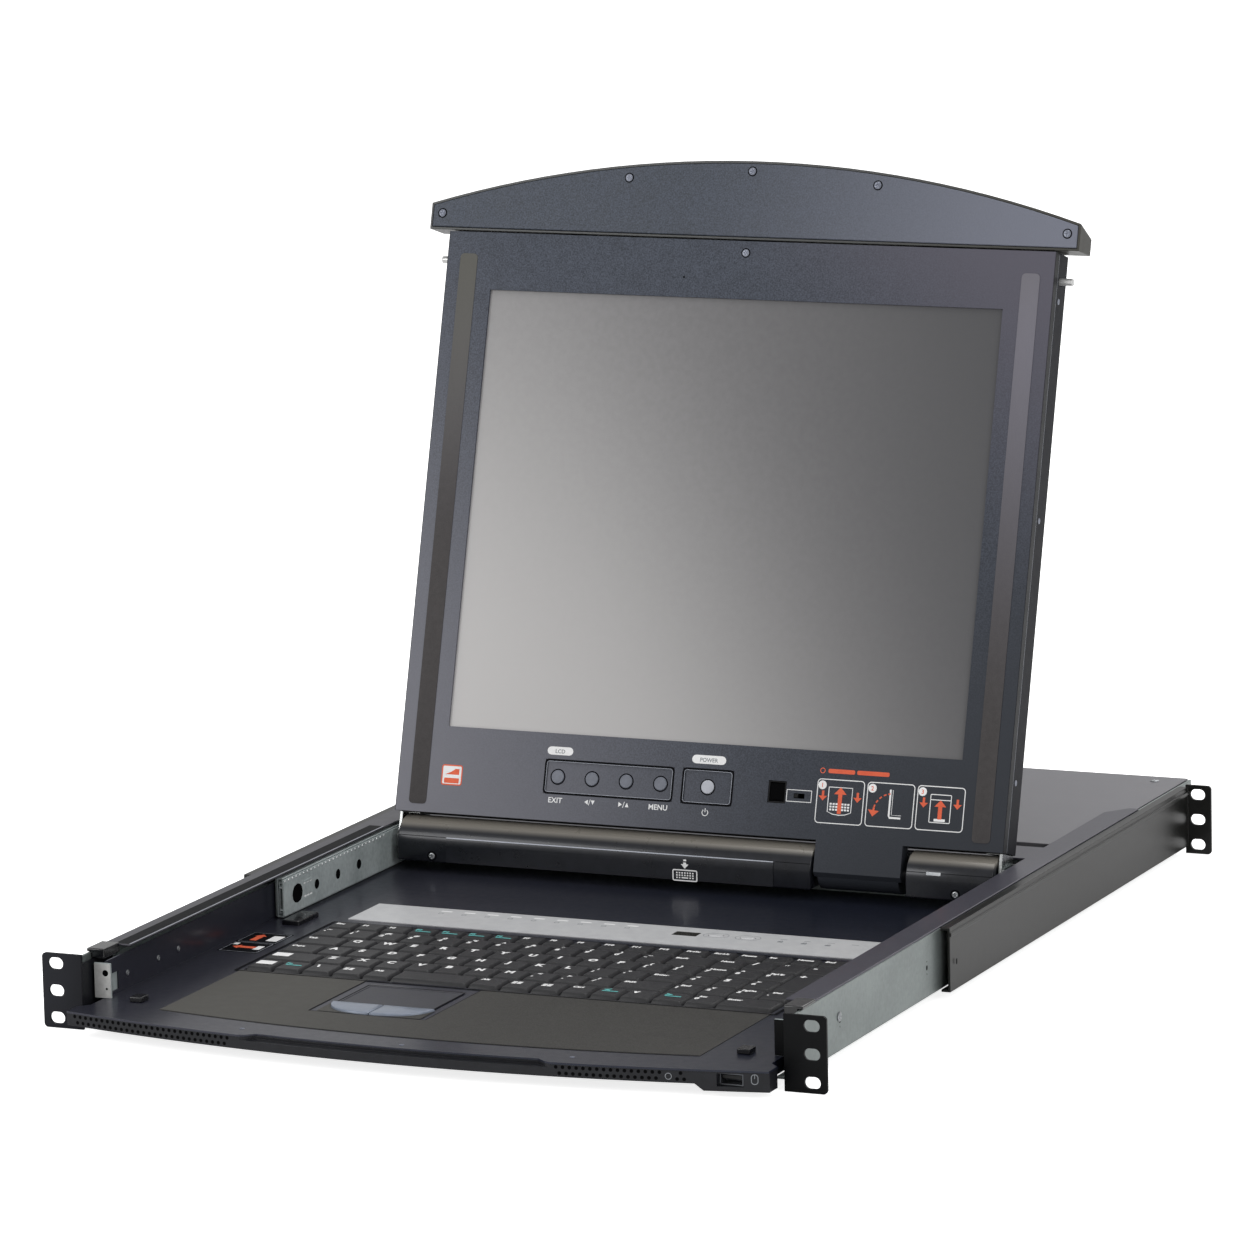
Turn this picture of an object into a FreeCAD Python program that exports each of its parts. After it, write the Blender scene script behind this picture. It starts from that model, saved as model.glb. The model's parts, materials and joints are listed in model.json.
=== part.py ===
import FreeCAD, Part
import os
import re
import Sketcher

# Rackmount LCD console drawer: a display module and a keyboard tray that slide one above the other
# in a 1U chassis. Millimetres. +X is right seen from the front, +Y runs back into the rack, +Z is up.
# The origin is the middle of the front rack slot pattern, on the front face of the ears.

SIZES = {
    # rack ears
    "slot_span": 465.1, "slot_pitch": 15.875, "slot_long": 9.5, "slot_wide": 6.8, "ear_edge": 8.75,
    "ear_half_height": 21.8, "ear_sheet": 2.0, "leg_sheet": 1.5, "ear_step": 1.0, "ear_leg_back": 40.0,
    "ear_leg_low": -12.0, "ear_leg_high": 16.0, "ear_corner": 2.5,
    # chassis: side rails, top frame, end caps, rear cover, base, rear panel
    "side_inset": 12.55, "rail_sheet": 1.5, "rail_top": 20.0, "rail_bottom": -15.7, "rail_lip": 8.0,
    "rail_lip_front": 36.0, "chassis_back": 655.0, "frame_sheet": 1.2, "flange_wide": 17.0,
    "flange_front": 35.0, "flange_back": 558.0, "flange_taper": 16.0, "brace_front": 405.0,
    "brace_back": 437.0,
    "cover_front": 452.0, "cover_gap": 1.5, "cover_drop": 6.0, "base_front": 403.0, "panel_gap": 0.1,
    "panel_sheet": 1.2, "vent_pitch": 22.0, "vent_wide": 9.0, "vent_front": 520.0, "vent_long": 46.0,
    "cap_wide": 11.5, "cap_lap": 1.0, "cap_front": 16.0, "cap_tall": 2.3, "cap_drop": 3.5,
    # rear brackets that carry the rear ears
    "bracket_wide": 6.0, "bracket_front": 223.0, "bracket_ear": 631.0, "bracket_sheet": 1.5,
    "bracket_top": 20.5, "bracket_bottom": -17.3, "bracket_gap": 0.3, "rib_drop": 2.8, "rib_wide": 2.4,
    "rib_proud": 0.9,
    # display slides and the hangers that hold them
    "hanger_reach": 11.7, "hanger_sheet": 1.2, "hanger_low": -5.0, "slide_front": 225.0, "slide_step": 3.0,
    "slide_back": 640.0, "slide_middle": 6.5, "slide_sheet": 1.0, "channel_half": 12.1, "channel_wide": 4.4,
    "race_gap": 0.4, "race_half": 9.7, "race_wide": 2.8, "slide_wide": 6.3, "member_half": 11.0,
    "member_wide": 3.1, "flange_half": 7.3, "member_long": 200.0, "ball_sheet": 0.8, "ball_gap": 0.3,
    "ball_inset": 0.6, "ball_wide": 1.0, "inner_ball_inset": 0.2, "inner_ball_wide": 0.7,
    "relief_y": 243.0, "relief_round": 6.0, "slide_hole": 2.6, "slide_hole_first": 26.0,
    "slide_hole_pitch": 28.8,
    # tray slides, outside the tray walls
    "runner_sheet": 1.2, "runner_middle": 1.2, "runner_half": 12.2, "runner_wide": 5.5,
    "runner_front": 42.0,
    "runner_back": 440.0, "inner_race_gap": 1.7, "inner_race_half": 9.8, "inner_race_wide": 4.2,
    "inner_wide": 3.8, "inner_half": 7.5, "front_plate_lap": 4.8, "front_plate_gap": 3.2,
    "front_plate_low": -5.9, "front_plate_high": 14.5, "front_plate_y": 14.0, "front_plate_sheet": 1.5,
    "plate_hole": 2.4, "plate_hole_z": 8.6, "plate_hole_inset": 1.1,
    # keyboard tray
    "deck_top": -6.0, "deck_sheet": 1.2, "tray_gap": 8.7, "nose_gap": 3.0, "tray_front": -43.5,
    "bow": 1000.0, "tray_back": 400.0, "nose_back": -8.0, "nose_taper": 6.0, "tray_low": -14.2,
    "bottom_sheet": 1.0, "wall_front": 16.0, "wall_top": 15.2, "catch_slot_front": 22.6,
    "catch_slot_long": 8.0,
    "catch_slot_low": -4.0, "catch_slot_high": 6.6, "bar_deep": 14.0, "bar_setback": 0.5,
    "grip_left": -99.0, "grip_right": 95.0, "grip_deep": 6.4, "grip_ledge": -9.0, "grip_slope": 14.0,
    "block_wide": 36.0, "block_slope": 5.0, "block_low": -18.0,
    "usb_inset": 21.3, "usb_z": -11.6, "usb_wide": 14.4, "usb_tall": 7.0, "usb_wall": 0.9, "usb_deep": 10.0,
    "film_over": 1.0, "film_front": 28.5, "film_back": 101.0, "film_sheet": 0.3,
    "film_notch_left": -85.0, "film_notch_right": -12.0,
    "pad_left": -78.0, "pad_right": -18.0, "pad_front": 46.5, "pad_back": 89.5, "pad_sheet": 0.5,
    "pad_rim": 1.4,
    "pad_button_side": 2.0, "pad_button_front": 26.0, "pad_button_bow": 5.0, "pad_button_top": -5.2,
    "button_gap": 0.4,
    "keys_front": 103.0, "key_deep": 21.0, "function_deep": 17.0, "keys_half": 165.5, "key_top": -4.0,
    "key_bottom": -7.3, "key_gap": 0.7, "key_taper": 1.6, "number_pad": 75.6, "key_base_top": -9.6,
    "strip_inset": 1.0, "strip_front": 237.5, "strip_back": 280.0, "strip_sheet": 0.6,
    "strip_button_x": 62.0, "strip_button_pitch": 20.3, "strip_button_y": 266.0, "strip_button_long": 9.0,
    "strip_button_wide": 5.0, "window_x": 43.6, "window_y": 264.5, "window_long": 15.5, "window_wide": 9.0,
    "bumper_gap": 1.3, "bumper_y": 15.0, "bumper_long": 8.0, "bumper_wide": 9.0, "bumper_tall": 3.2,
    # display hinge line and carrier
    "hinge_y": 385.3, "hinge_z": 10.55, "tilt": 16.4, "bar_round": 15.2, "bar_clear": 0.7, "bar_shell": 1.8,
    "bar_bottom": 0.5, "tab_clear": 1.0, "bar_right_clear": 4.0, "bar_plate_left": -162.0,
    "bar_plate_right": 55.0, "bar_plate_proud": 0.7, "bar_plate_high": 16.3,
    "shaft_round": 4.0, "shaft_play": 0.08, "shaft_fit": 0.05, "shaft_reach": 20.0, "nut_round": 7.5,
    "nut_gap": 0.4, "arm_sheet": 2.0, "arm_inset": 3.8, "arm_round": 9.0, "arm_foot": 10.0,
    "beam_gap": 0.2, "beam_bottom": -2.0, "beam_top": 18.0, "beam_sheet": 1.5, "beam_foot": 14.0,
    # display module, in its own upright frame: y is depth behind the hinge line, z is height above it
    "lcd_gap": 0.5, "lcd_front": -13.05, "lcd_thick": 24.0, "lcd_bottom": 16.4, "lcd_top": 376.6,
    "bezel_thick": 6.0, "lcd_shell": 1.2, "back_step": 3.0, "back_vent_pitch": 44.0, "back_vent_wide": 30.0,
    "back_vent_tall": 3.0, "back_vent_high": 40.0,
    "screen_half": 169.0, "screen_bottom": 70.0,
    "screen_tall": 271.0, "panel_margin": 2.5, "panel_recess": 1.5, "panel_play": 0.3, "glass_thick": 6.5,
    "tab_left": 80.0, "tab_right": 136.0, "tab_bottom": -5.4, "tab_thick": 9.0, "tab_corner": 2.5,
    "knuckle_round": 11.8, "knuckle_inset": 2.0,
    "handle_over": 14.0, "handle_rise": 32.0, "handle_side": 16.5, "handle_deep": 20.5, "handle_taper": 6.0,
    "handle_wall": 2.0, "handle_gap": 0.9, "plate_sheet": 1.2, "plate_proud": 0.5, "plate_inset": 1.5,
    "plate_gap": 0.2, "lug_x": 120.0, "lug_wide": 24.0, "lug_deep": 10.0,
    "grip_strip_inset": 14.8, "grip_strip_wide": 11.6, "grip_strip_low": 21.3, "grip_strip_high": 363.0,
    "grip_strip_sheet": 0.3,
    "osd_x": -58.75, "osd_pitch": 22.75, "osd_z": 43.5, "osd_panel_wide": 85.6, "osd_panel_tall": 21.0,
    "panel_sink": 0.8, "osd_round": 4.2, "osd_gap": 0.25, "osd_long": 3.2,
    "power_x": 6.5, "power_panel_wide": 33.4, "power_panel_tall": 21.6,
    "port_x": 52.1, "port_wide": 11.6, "port_tall": 13.4, "port_wall": 1.0, "port_deep": 8.0,
    "mode_x": 66.6, "mode_z": 41.9, "mode_slot_long": 7.0, "mode_slot_tall": 3.0, "mode_knob_long": 2.6,
    "pin_z": 360.1, "pin_y": -2.0, "pin_round": 2.2, "pin_clear": 0.4, "pin_reach": 8.0, "pin_gap": 0.2,
    # inside the rear of the chassis
    "board_left": -170.0, "board_right": 60.0, "board_front": 462.0, "board_back": 640.0, "board_z": -8.0,
    "board_sheet": 1.6, "board_inset": 6.0, "post_round": 3.0, "supply_left": 84.0, "supply_gap": 5.5,
    "supply_front": 470.0, "supply_top": 13.0,
    "connector_pitch": 34.0, "connector_wide": 18.0, "connector_tall": 9.0, "connector_first": -177.0,
    "connector_flange": 31.0, "connector_deep": 14.0, "connector_proud": 6.0,
    "inlet_inset": 30.0, "inlet_z": 1.0, "inlet_wide": 27.0, "inlet_tall": 20.0, "inlet_deep": 13.0,
    "inlet_wall": 2.5,
    "screw_round": 2.8, "screw_tall": 0.9, "screw_inset": 17.0, "screw_inner": 70.0, "screw_back": 12.0,
    "screw_z": 4.0, "screw_first": 70.0, "screw_middle": 330.0, "screw_last": 460.0,
}

# Sizes that follow from the ones above, so that pieces that fit each other stay together.
FITS = {
    "ear_outer": "slot_span / 2 + ear_edge",
    "chassis_half": "slot_span / 2 - side_inset",
    "rail_inner": "chassis_half - rail_sheet",
    "ear_leg": "rail_inner - leg_sheet",
    "ear_inner": "ear_leg - ear_step",
    "flange_inner": "chassis_half - flange_wide",
    "cover_half": "rail_inner - cover_gap",
    "panel_half": "rail_inner - panel_gap",
    "cap_outer": "chassis_half + cap_lap",
    "cap_inner": "cap_outer - cap_wide",
    "bracket_outer": "chassis_half + bracket_wide",
    # the display slides, from the hangers inwards
    "hanger_face": "rail_inner - hanger_reach",
    "channel_lip": "hanger_face - channel_wide",
    "race_face": "hanger_face - slide_sheet - race_gap",
    "race_lip": "race_face - race_wide",
    "member_face": "hanger_face - slide_wide",
    "member_flange": "member_face + member_wide",
    # the tray and its slides, from the rails inwards
    "runner_face": "rail_inner - runner_sheet",
    "runner_lip": "rail_inner - runner_wide",
    "inner_race_face": "runner_face - inner_race_gap",
    "inner_race_lip": "inner_race_face - inner_race_wide",
    "tray_half": "rail_inner - tray_gap",
    "inner_flange": "tray_half + inner_wide",
    "front_plate_inner": "tray_half - front_plate_lap",
    "front_plate_outer": "rail_inner - front_plate_gap",
    "tray_nose_half": "rail_inner - nose_gap",
    "usb_x": "tray_nose_half - usb_inset",
    "block_left": "tray_nose_half - block_wide",
    "film_half": "keys_half + film_over",
    "strip_half": "keys_half - strip_inset",
    # the display, between the faces of its slides
    "lcd_half": "member_face - lcd_gap",
    "arm_inner": "lcd_half - arm_inset",
    "bar_end": "arm_inner - bar_clear",
    "bar_left_end": "tab_left - tab_clear",
    "bar_right_start": "tab_right + bar_right_clear",
    "handle_half": "lcd_half + handle_over",
    "grip_strip_x": "lcd_half - grip_strip_inset",
    "bumper_x": "(film_half + tray_half - bumper_gap) / 2",
    "pin_tip": "tray_half - deck_sheet - pin_clear",
    "pin_root": "lcd_half - pin_reach",
    "supply_right": "member_face - supply_gap",
    "inlet_x": "supply_right - inlet_inset",
}

doc = FreeCAD.newDocument("console_drawer")
sheet = doc.addObject("Spreadsheet::Sheet", "sizes")
ROWS = [*SIZES.items(), *((alias, "=" + text) for alias, text in FITS.items())]
for row, (alias, value) in enumerate(ROWS, start=1):
    sheet.set("A%d" % row, alias)
    sheet.set("B%d" % row, str(value))
    sheet.setAlias("B%d" % row, alias)
doc.recompute()

nodes = {}
SIDES = (("left", -1), ("right", 1))


def formula(text):
    """Turns the plain size names in a formula into references to the sheet."""
    return re.sub(r"[a-z_]+", lambda word: "sizes." * (word.group(0) in SIZES or word.group(0) in FITS)
                  + word.group(0), str(text))


def bind(item, name, text):
    item.setExpression(name, formula(text))


def place(item, x="0", y="0", z="0"):
    for axis, text in zip("xyz", (x, y, z)):
        bind(item, "Placement.Base." + axis, text)
    return item


def keep(name, item):
    """Names a finished sub-part, which is written to its own file."""
    item.Label = name
    nodes[name] = item
    return item


def box(x, y, z):
    """A block between two formulas on each axis."""
    item = doc.addObject("Part::Box", "block")
    for (low, high), side in zip((x, y, z), ("Length", "Width", "Height")):
        bind(item, side, "(%s) - (%s)" % (high, low))
    return place(item, x[0], y[0], z[0])


def along(item, axis, centre, low, high):
    """Lays an upright piece along one axis between two formulas; centre holds its other two coordinates."""
    bind(item, "Height", "(%s) - (%s)" % (high, low))
    turn = {"x": ((0, 1, 0), 90), "y": ((1, 0, 0), -90), "z": ((0, 0, 1), 0)}[axis]
    item.Placement = FreeCAD.Placement(FreeCAD.Vector(),
                                       FreeCAD.Rotation(FreeCAD.Vector(*turn[0]), turn[1]))
    spots = {"x": (low, *centre), "y": (centre[0], low, centre[1]), "z": (*centre, low)}[axis]
    return place(item, *spots)


def rod(axis, centre, radius, low, high):
    item = doc.addObject("Part::Cylinder", "rod")
    bind(item, "Radius", radius)
    return along(item, axis, centre, low, high)


def prism(axis, centre, radius, low, high, sides=6):
    """A rod with flats: hexagonal nuts, posts and screw heads, or many-sided small pieces that repeat."""
    item = doc.addObject("Part::Prism", "prism")
    item.Polygon = sides
    bind(item, "Circumradius", radius)
    return along(item, axis, centre, low, high)


def fuse(*items):
    item = doc.addObject("Part::MultiFuse", "joined")
    item.Shapes = list(items)
    item.Refine = True
    return item


def group(*items):
    """Separate solids kept together in one sub-part."""
    item = doc.addObject("Part::Compound", "set")
    item.Links = list(items)
    return item


def cut(base, *tools):
    item = doc.addObject("Part::Cut", "cut")
    item.Base = base
    item.Tool = tools[0] if len(tools) == 1 else group(*tools)
    item.Refine = True
    return item


def common(*items):
    item = doc.addObject("Part::MultiCommon", "shared")
    item.Shapes = list(items)
    item.Refine = True
    return item


def profile(plane, corners, low, high):
    """A Body whose sketch joins corners given as formulas, padded between two formulas along the normal."""
    body = doc.addObject("PartDesign::Body", "profile")
    sketch = body.newObject("Sketcher::SketchObject", "outline")
    sketch.AttachmentSupport = [(next(o for o in body.Origin.OriginFeatures if o.Role == plane), "")]
    sketch.MapMode = "FlatFace"
    spots = [[float(doc.sizes.evalExpression(formula(text))) for text in corner] for corner in corners]
    total = len(corners)
    for index, spot in enumerate(spots):
        ahead = spots[(index + 1) % total]
        sketch.addGeometry(Part.LineSegment(FreeCAD.Vector(*spot, 0), FreeCAD.Vector(*ahead, 0)))
    for index in range(total):
        sketch.addConstraint(Sketcher.Constraint("Coincident", index, 2, (index + 1) % total, 1))
    for index, corner in enumerate(corners):
        for kind, text, start in zip(("DistanceX", "DistanceY"), corner, spots[index]):
            number = sketch.addConstraint(Sketcher.Constraint(kind, -1, 1, index, 1, start))
            sketch.setExpression("Constraints[%d]" % number, formula(text))
    backwards = plane == "XZ_Plane"
    bind(sketch, "AttachmentOffset.Base.z", "-(%s)" % low if backwards else low)
    pad = body.newObject("PartDesign::Pad", "pad")
    pad.Profile = sketch
    pad.Reversed = backwards
    bind(pad, "Length", "(%s) - (%s)" % (high, low))
    sketch.Visibility = False
    return body


def across(side, near, far):
    """The low and high X of a piece that lies between two distances from the middle plane."""
    return (near, far) if side > 0 else ("-(%s)" % far, "-(%s)" % near)


def signed(side, text):
    return text if side > 0 else "-(%s)" % text


def slot(x, z, low, high):
    """A rack slot: a block with round ends, along X, cut between two Y formulas."""
    reach = "(slot_long - slot_wide) / 2"
    middle = box(("%s - %s" % (x, reach), "%s + %s" % (x, reach)), (low, high),
                 ("%s - slot_wide / 2" % z, "%s + slot_wide / 2" % z))
    ends = [rod("y", ("%s %s %s" % (x, sign, reach), z), "slot_wide / 2", low, high) for sign in "+-"]
    return fuse(middle, *ends)


def rack_ear(side, low, high, inner):
    """An upright ear plate with its three slots and rounded outer corners."""
    plate = box(across(side, inner, "ear_outer"), (low, high), ("-ear_half_height", "ear_half_height"))
    corners = []
    for sign in "+-":
        bite = box(across(side, "ear_outer - ear_corner", "ear_outer + 1"),
                   ("%s - 1" % low, "%s + 1" % high),
                   ("-ear_half_height - 1", "ear_corner - ear_half_height") if sign == "-"
                   else ("ear_half_height - ear_corner", "ear_half_height + 1"))
        round_corner = rod("y", (signed(side, "ear_outer - ear_corner"),
                                 "%s(ear_half_height - ear_corner)" % sign),
                           "ear_corner", "%s - 1" % low, "%s + 1" % high)
        corners.append(cut(bite, round_corner))
    slots = [slot(signed(side, "slot_span / 2"), "%d * slot_pitch" % step, "%s - 1" % low, "%s + 1" % high)
             for step in (-1, 0, 1)]
    return cut(plate, *slots, *corners)


def c_section(side, web, lip, middle, half, sheet_size, low, high):
    """A rolled C profile along Y: a web and two lips, each between two distances from the middle plane."""
    top = "%s + %s" % (middle, half)
    bottom = "%s - %s" % (middle, half)
    return fuse(box(across(side, *web), (low, high), (bottom, top)),
                box(across(side, *lip), (low, high), ("%s - %s" % (top, sheet_size), top)),
                box(across(side, *lip), (low, high), (bottom, "%s + %s" % (bottom, sheet_size))))


def ball_strips(side, near, far, middle, half, low, high):
    """Two ball cages that run above and below a slide section."""
    start = "%s + ball_gap" % half
    end = "%s + ball_sheet" % start
    return [box(across(side, near, far), (low, high),
                ("%s + %s" % (middle, start), "%s + %s" % (middle, end))),
            box(across(side, near, far), (low, high),
                ("%s - (%s)" % (middle, end), "%s - (%s)" % (middle, start)))]


# ---------------------------------------------------------------- chassis
LIP_TOP = "rail_bottom + rail_sheet"
for name, side in SIDES:
    web = box(across(side, "rail_inner", "chassis_half"), ("ear_sheet", "chassis_back"),
              ("rail_bottom", "rail_top"))
    foot = box(across(side, "chassis_half - rail_lip - rail_sheet", "chassis_half"),
               ("ear_sheet", "chassis_back"),
               ("rail_bottom", LIP_TOP))
    lip = box(across(side, "chassis_half - rail_lip", "chassis_half"),
              ("rail_lip_front", "cover_front - 0.5"),
              ("rail_top - frame_sheet", "rail_top"))
    keep("side_rail_" + name, fuse(web, foot, lip))
    plate = rack_ear(side, "0", "ear_sheet", "ear_inner")
    leg = box(across(side, "ear_leg", "rail_inner"), ("ear_sheet", "ear_leg_back"),
              ("ear_leg_low", "ear_leg_high"))
    keep("rack_ear_" + name, fuse(plate, leg))

FRAME_TOP = "rail_top + frame_sheet"
flanges = []
for name, side in SIDES:
    corners = [("flange_inner", "flange_front"), ("chassis_half", "flange_front"),
               ("chassis_half", "flange_back"),
               ("chassis_half - cover_drop", "flange_back"), ("flange_inner", "flange_back - flange_taper")]
    flanges.append(profile("XY_Plane", [(signed(side, u), v) for u, v in corners], "rail_top", FRAME_TOP))
brace = box(("-flange_inner - 1", "flange_inner + 1"), ("brace_front", "brace_back"),
            ("rail_top", FRAME_TOP))
keep("top_frame", fuse(*flanges, brace))

COVER_SPAN = ("-cover_half", "cover_half")
COVER_BOTTOM = "rail_top - frame_sheet"
PANEL_BACK = "chassis_back + panel_sheet"
cover = box(COVER_SPAN, ("cover_front", PANEL_BACK + " + frame_sheet"), (COVER_BOTTOM, "rail_top"))
cover_front_lip = box(("2 - member_face", "member_face - 2"), ("cover_front", "cover_front + frame_sheet"),
                      ("rail_top - 7", "rail_top"))
cover_back_lip = box(COVER_SPAN, (PANEL_BACK, PANEL_BACK + " + frame_sheet"),
                     ("rail_top - cover_drop", "rail_top"))
keep("rear_cover", fuse(cover, cover_front_lip, cover_back_lip))

BASE_TOP = LIP_TOP + " + panel_sheet"
PANEL_SPAN = ("-panel_half", "panel_half")
base_plate = box(PANEL_SPAN, ("base_front", "chassis_back"), (LIP_TOP, BASE_TOP))
vents = [box(("%d * vent_pitch - vent_wide / 2" % step, "%d * vent_pitch + vent_wide / 2" % step),
             ("vent_front", "vent_front + vent_long"), (LIP_TOP + " - 1", BASE_TOP + " + 1"))
         for step in range(-6, 3)]
keep("base_pan", cut(base_plate, *vents))

CONNECTORS = ["connector_first + %d * connector_pitch" % i for i in range(8)]
rear = box(PANEL_SPAN, ("chassis_back", PANEL_BACK), (LIP_TOP, COVER_BOTTOM))
openings = [box(("%s - connector_wide / 2" % x, "%s + connector_wide / 2" % x),
                ("chassis_back - 1", "chassis_back + 3"), ("-connector_tall / 2", "connector_tall / 2"))
            for x in CONNECTORS]
inlet_hole = box(("inlet_x - inlet_wide / 2", "inlet_x + inlet_wide / 2"),
                 ("chassis_back - 1", "chassis_back + 3"),
                 ("inlet_z - inlet_tall / 2", "inlet_z + inlet_tall / 2"))
keep("rear_panel", cut(rear, *openings, inlet_hole))

shells = []
for x in CONNECTORS:
    shell = box(("%s - connector_wide / 2 + 0.2" % x, "%s + connector_wide / 2 - 0.2" % x),
                ("chassis_back - connector_deep", "chassis_back + connector_proud"),
                ("0.2 - connector_tall / 2", "connector_tall / 2 - 0.2"))
    flange = box(("%s - connector_flange / 2" % x, "%s + connector_flange / 2" % x),
                 (PANEL_BACK, PANEL_BACK + " + 0.8"),
                 ("-connector_tall / 2 - 1.5", "connector_tall / 2 + 1.5"))
    shells.append(fuse(shell, flange))
keep("port_connectors", group(*shells))

INLET_FLOOR = "chassis_back - inlet_deep + 3"
inlet = box(("inlet_x - inlet_wide / 2 + 0.2", "inlet_x + inlet_wide / 2 - 0.2"),
            ("chassis_back - inlet_deep", PANEL_BACK),
            ("inlet_z - inlet_tall / 2 + 0.2", "inlet_z + inlet_tall / 2 - 0.2"))
inlet_rim = box(("inlet_x - inlet_wide / 2 - 2", "inlet_x + inlet_wide / 2 + 2"),
                (PANEL_BACK, PANEL_BACK + " + 2"),
                ("inlet_z - inlet_tall / 2 - 2", "inlet_z + inlet_tall / 2 + 2"))
inlet_hollow = box(("inlet_x - inlet_wide / 2 + inlet_wall", "inlet_x + inlet_wide / 2 - inlet_wall"),
                   (INLET_FLOOR, "chassis_back + 6"),
                   ("inlet_z - inlet_tall / 2 + inlet_wall", "inlet_z + inlet_tall / 2 - inlet_wall"))
blades = [box(("inlet_x + %d - 1" % spot, "inlet_x + %d + 1" % spot),
              (INLET_FLOOR + " - 1", "chassis_back - 2"),
              ("inlet_z - 2", "inlet_z + 2")) for spot in (-7, 0, 7)]
keep("power_inlet", fuse(cut(fuse(inlet, inlet_rim), inlet_hollow), *blades))

board = box(("board_left", "board_right"), ("board_front", "board_back"),
            ("board_z", "board_z + board_sheet"))
standoffs = [prism("z", (x, y), "post_round", BASE_TOP, "board_z")
             for x in ("board_left + board_inset", "board_right - board_inset")
             for y in ("board_front + board_inset", "board_back - board_inset")]
BOARD_TOP = "board_z + board_sheet"
chips = [box((x, "%s + %d" % (x, size)), (y, "%s + %d" % (y, size)), (BOARD_TOP, BOARD_TOP + " + 2.2"))
         for x, y, size in (("board_left + 40", "board_front + 40", 24),
                            ("board_left + 100", "board_front + 60", 18),
                            ("board_left + 150", "board_front + 90", 14))]
keep("main_board", fuse(board, *standoffs, *chips))
keep("power_supply", box(("supply_left", "supply_right"), ("supply_front", "chassis_back - inlet_deep - 4"),
                         (BASE_TOP, "supply_top")))

caps = []
for name, side in SIDES:
    cap_y = ("cap_front", "flange_front - 0.2")
    top = box(across(side, "cap_inner", "cap_outer"), cap_y, ("rail_top + 0.05", "rail_top + cap_tall"))
    drop = box(across(side, "cap_inner", "rail_inner - 0.2"), cap_y,
               ("rail_top - cap_drop", "rail_top + 0.05"))
    caps.append(fuse(top, drop))
keep("end_caps", group(*caps))

cover_screws = [prism("z", (signed(side, x), "chassis_back - screw_back"), "screw_round", "rail_top",
                      "rail_top + screw_tall")
                for name, side in SIDES for x in ("screw_inner", "cover_half - screw_inset")]
rail_screws = [prism("x", (y, "screw_z"), "screw_round",
                     *across(side, "chassis_half", "chassis_half + screw_tall"))
               for name, side in SIDES for y in ("screw_first", "screw_middle", "screw_last")]
keep("chassis_screws", group(*cover_screws, *rail_screws))

# ---------------------------------------------------------------- ball-bearing slides
HANGER_BACK = "hanger_face + hanger_sheet"
CHANNEL_Y = ("slide_front + slide_step", "slide_back")
hangers, channels, races, members = [], [], [], []
for name, side in SIDES:
    drop = box(across(side, "hanger_face", HANGER_BACK), CHANNEL_Y, ("hanger_low", COVER_BOTTOM))
    lip = box(across(side, "hanger_face", "panel_half"), CHANNEL_Y,
              (COVER_BOTTOM + " - hanger_sheet", COVER_BOTTOM))
    hangers.append(fuse(drop, lip))
    channels.append(c_section(side, ("hanger_face - slide_sheet", "hanger_face"),
                              ("channel_lip", "hanger_face"),
                              "slide_middle", "channel_half", "slide_sheet", *CHANNEL_Y))
    races.append(c_section(side, ("race_face - slide_sheet", "race_face"), ("race_lip", "race_face"),
                           "slide_middle", "race_half", "slide_sheet", CHANNEL_Y[0], "slide_back - 12"))
    races += ball_strips(side, "race_lip + ball_inset", "race_lip + ball_inset + ball_wide", "slide_middle",
                         "race_half", "slide_front + 12", "slide_back - 24")
    races += ball_strips(side, "race_lip + inner_ball_inset",
                         "race_lip + inner_ball_inset + inner_ball_wide",
                         "slide_middle", "flange_half", "slide_front + 12",
                         "slide_front + member_long - 10")
    member_y = ("slide_front", "slide_front + member_long")
    plate = box(across(side, "member_face", "member_face + slide_sheet"), member_y,
                ("slide_middle - member_half + 0.5", "slide_middle + member_half + 0.5"))
    section = c_section(side, ("member_face", "member_face + slide_sheet"),
                        ("member_face", "member_flange"),
                        "slide_middle", "flange_half", "slide_sheet", *member_y)
    through = across(side, "member_face - 1", "member_face + 2")
    relief = prism("x", ("relief_y", "slide_middle"), "relief_round", *through)
    bores = [rod("x", ("relief_y + slide_hole_first + %d * slide_hole_pitch" % i, "slide_middle"),
                 "slide_hole",
                 *through) for i in range(3)]
    hooks = [box(across(side, "member_face - 0.3", "member_face + 0.2"), ("relief_y + 10", "relief_y + 19"),
                 ("slide_middle %s 5 - 0.7" % sign, "slide_middle %s 5 + 0.7" % sign)) for sign in "+-"]
    members.append(fuse(cut(fuse(plate, section), relief, *bores), *hooks))
keep("slide_hangers", group(*hangers))
keep("lcd_slide_channels", group(*channels))
keep("lcd_slide_middles", group(*races))
keep("lcd_slide_members", group(*members))

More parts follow.
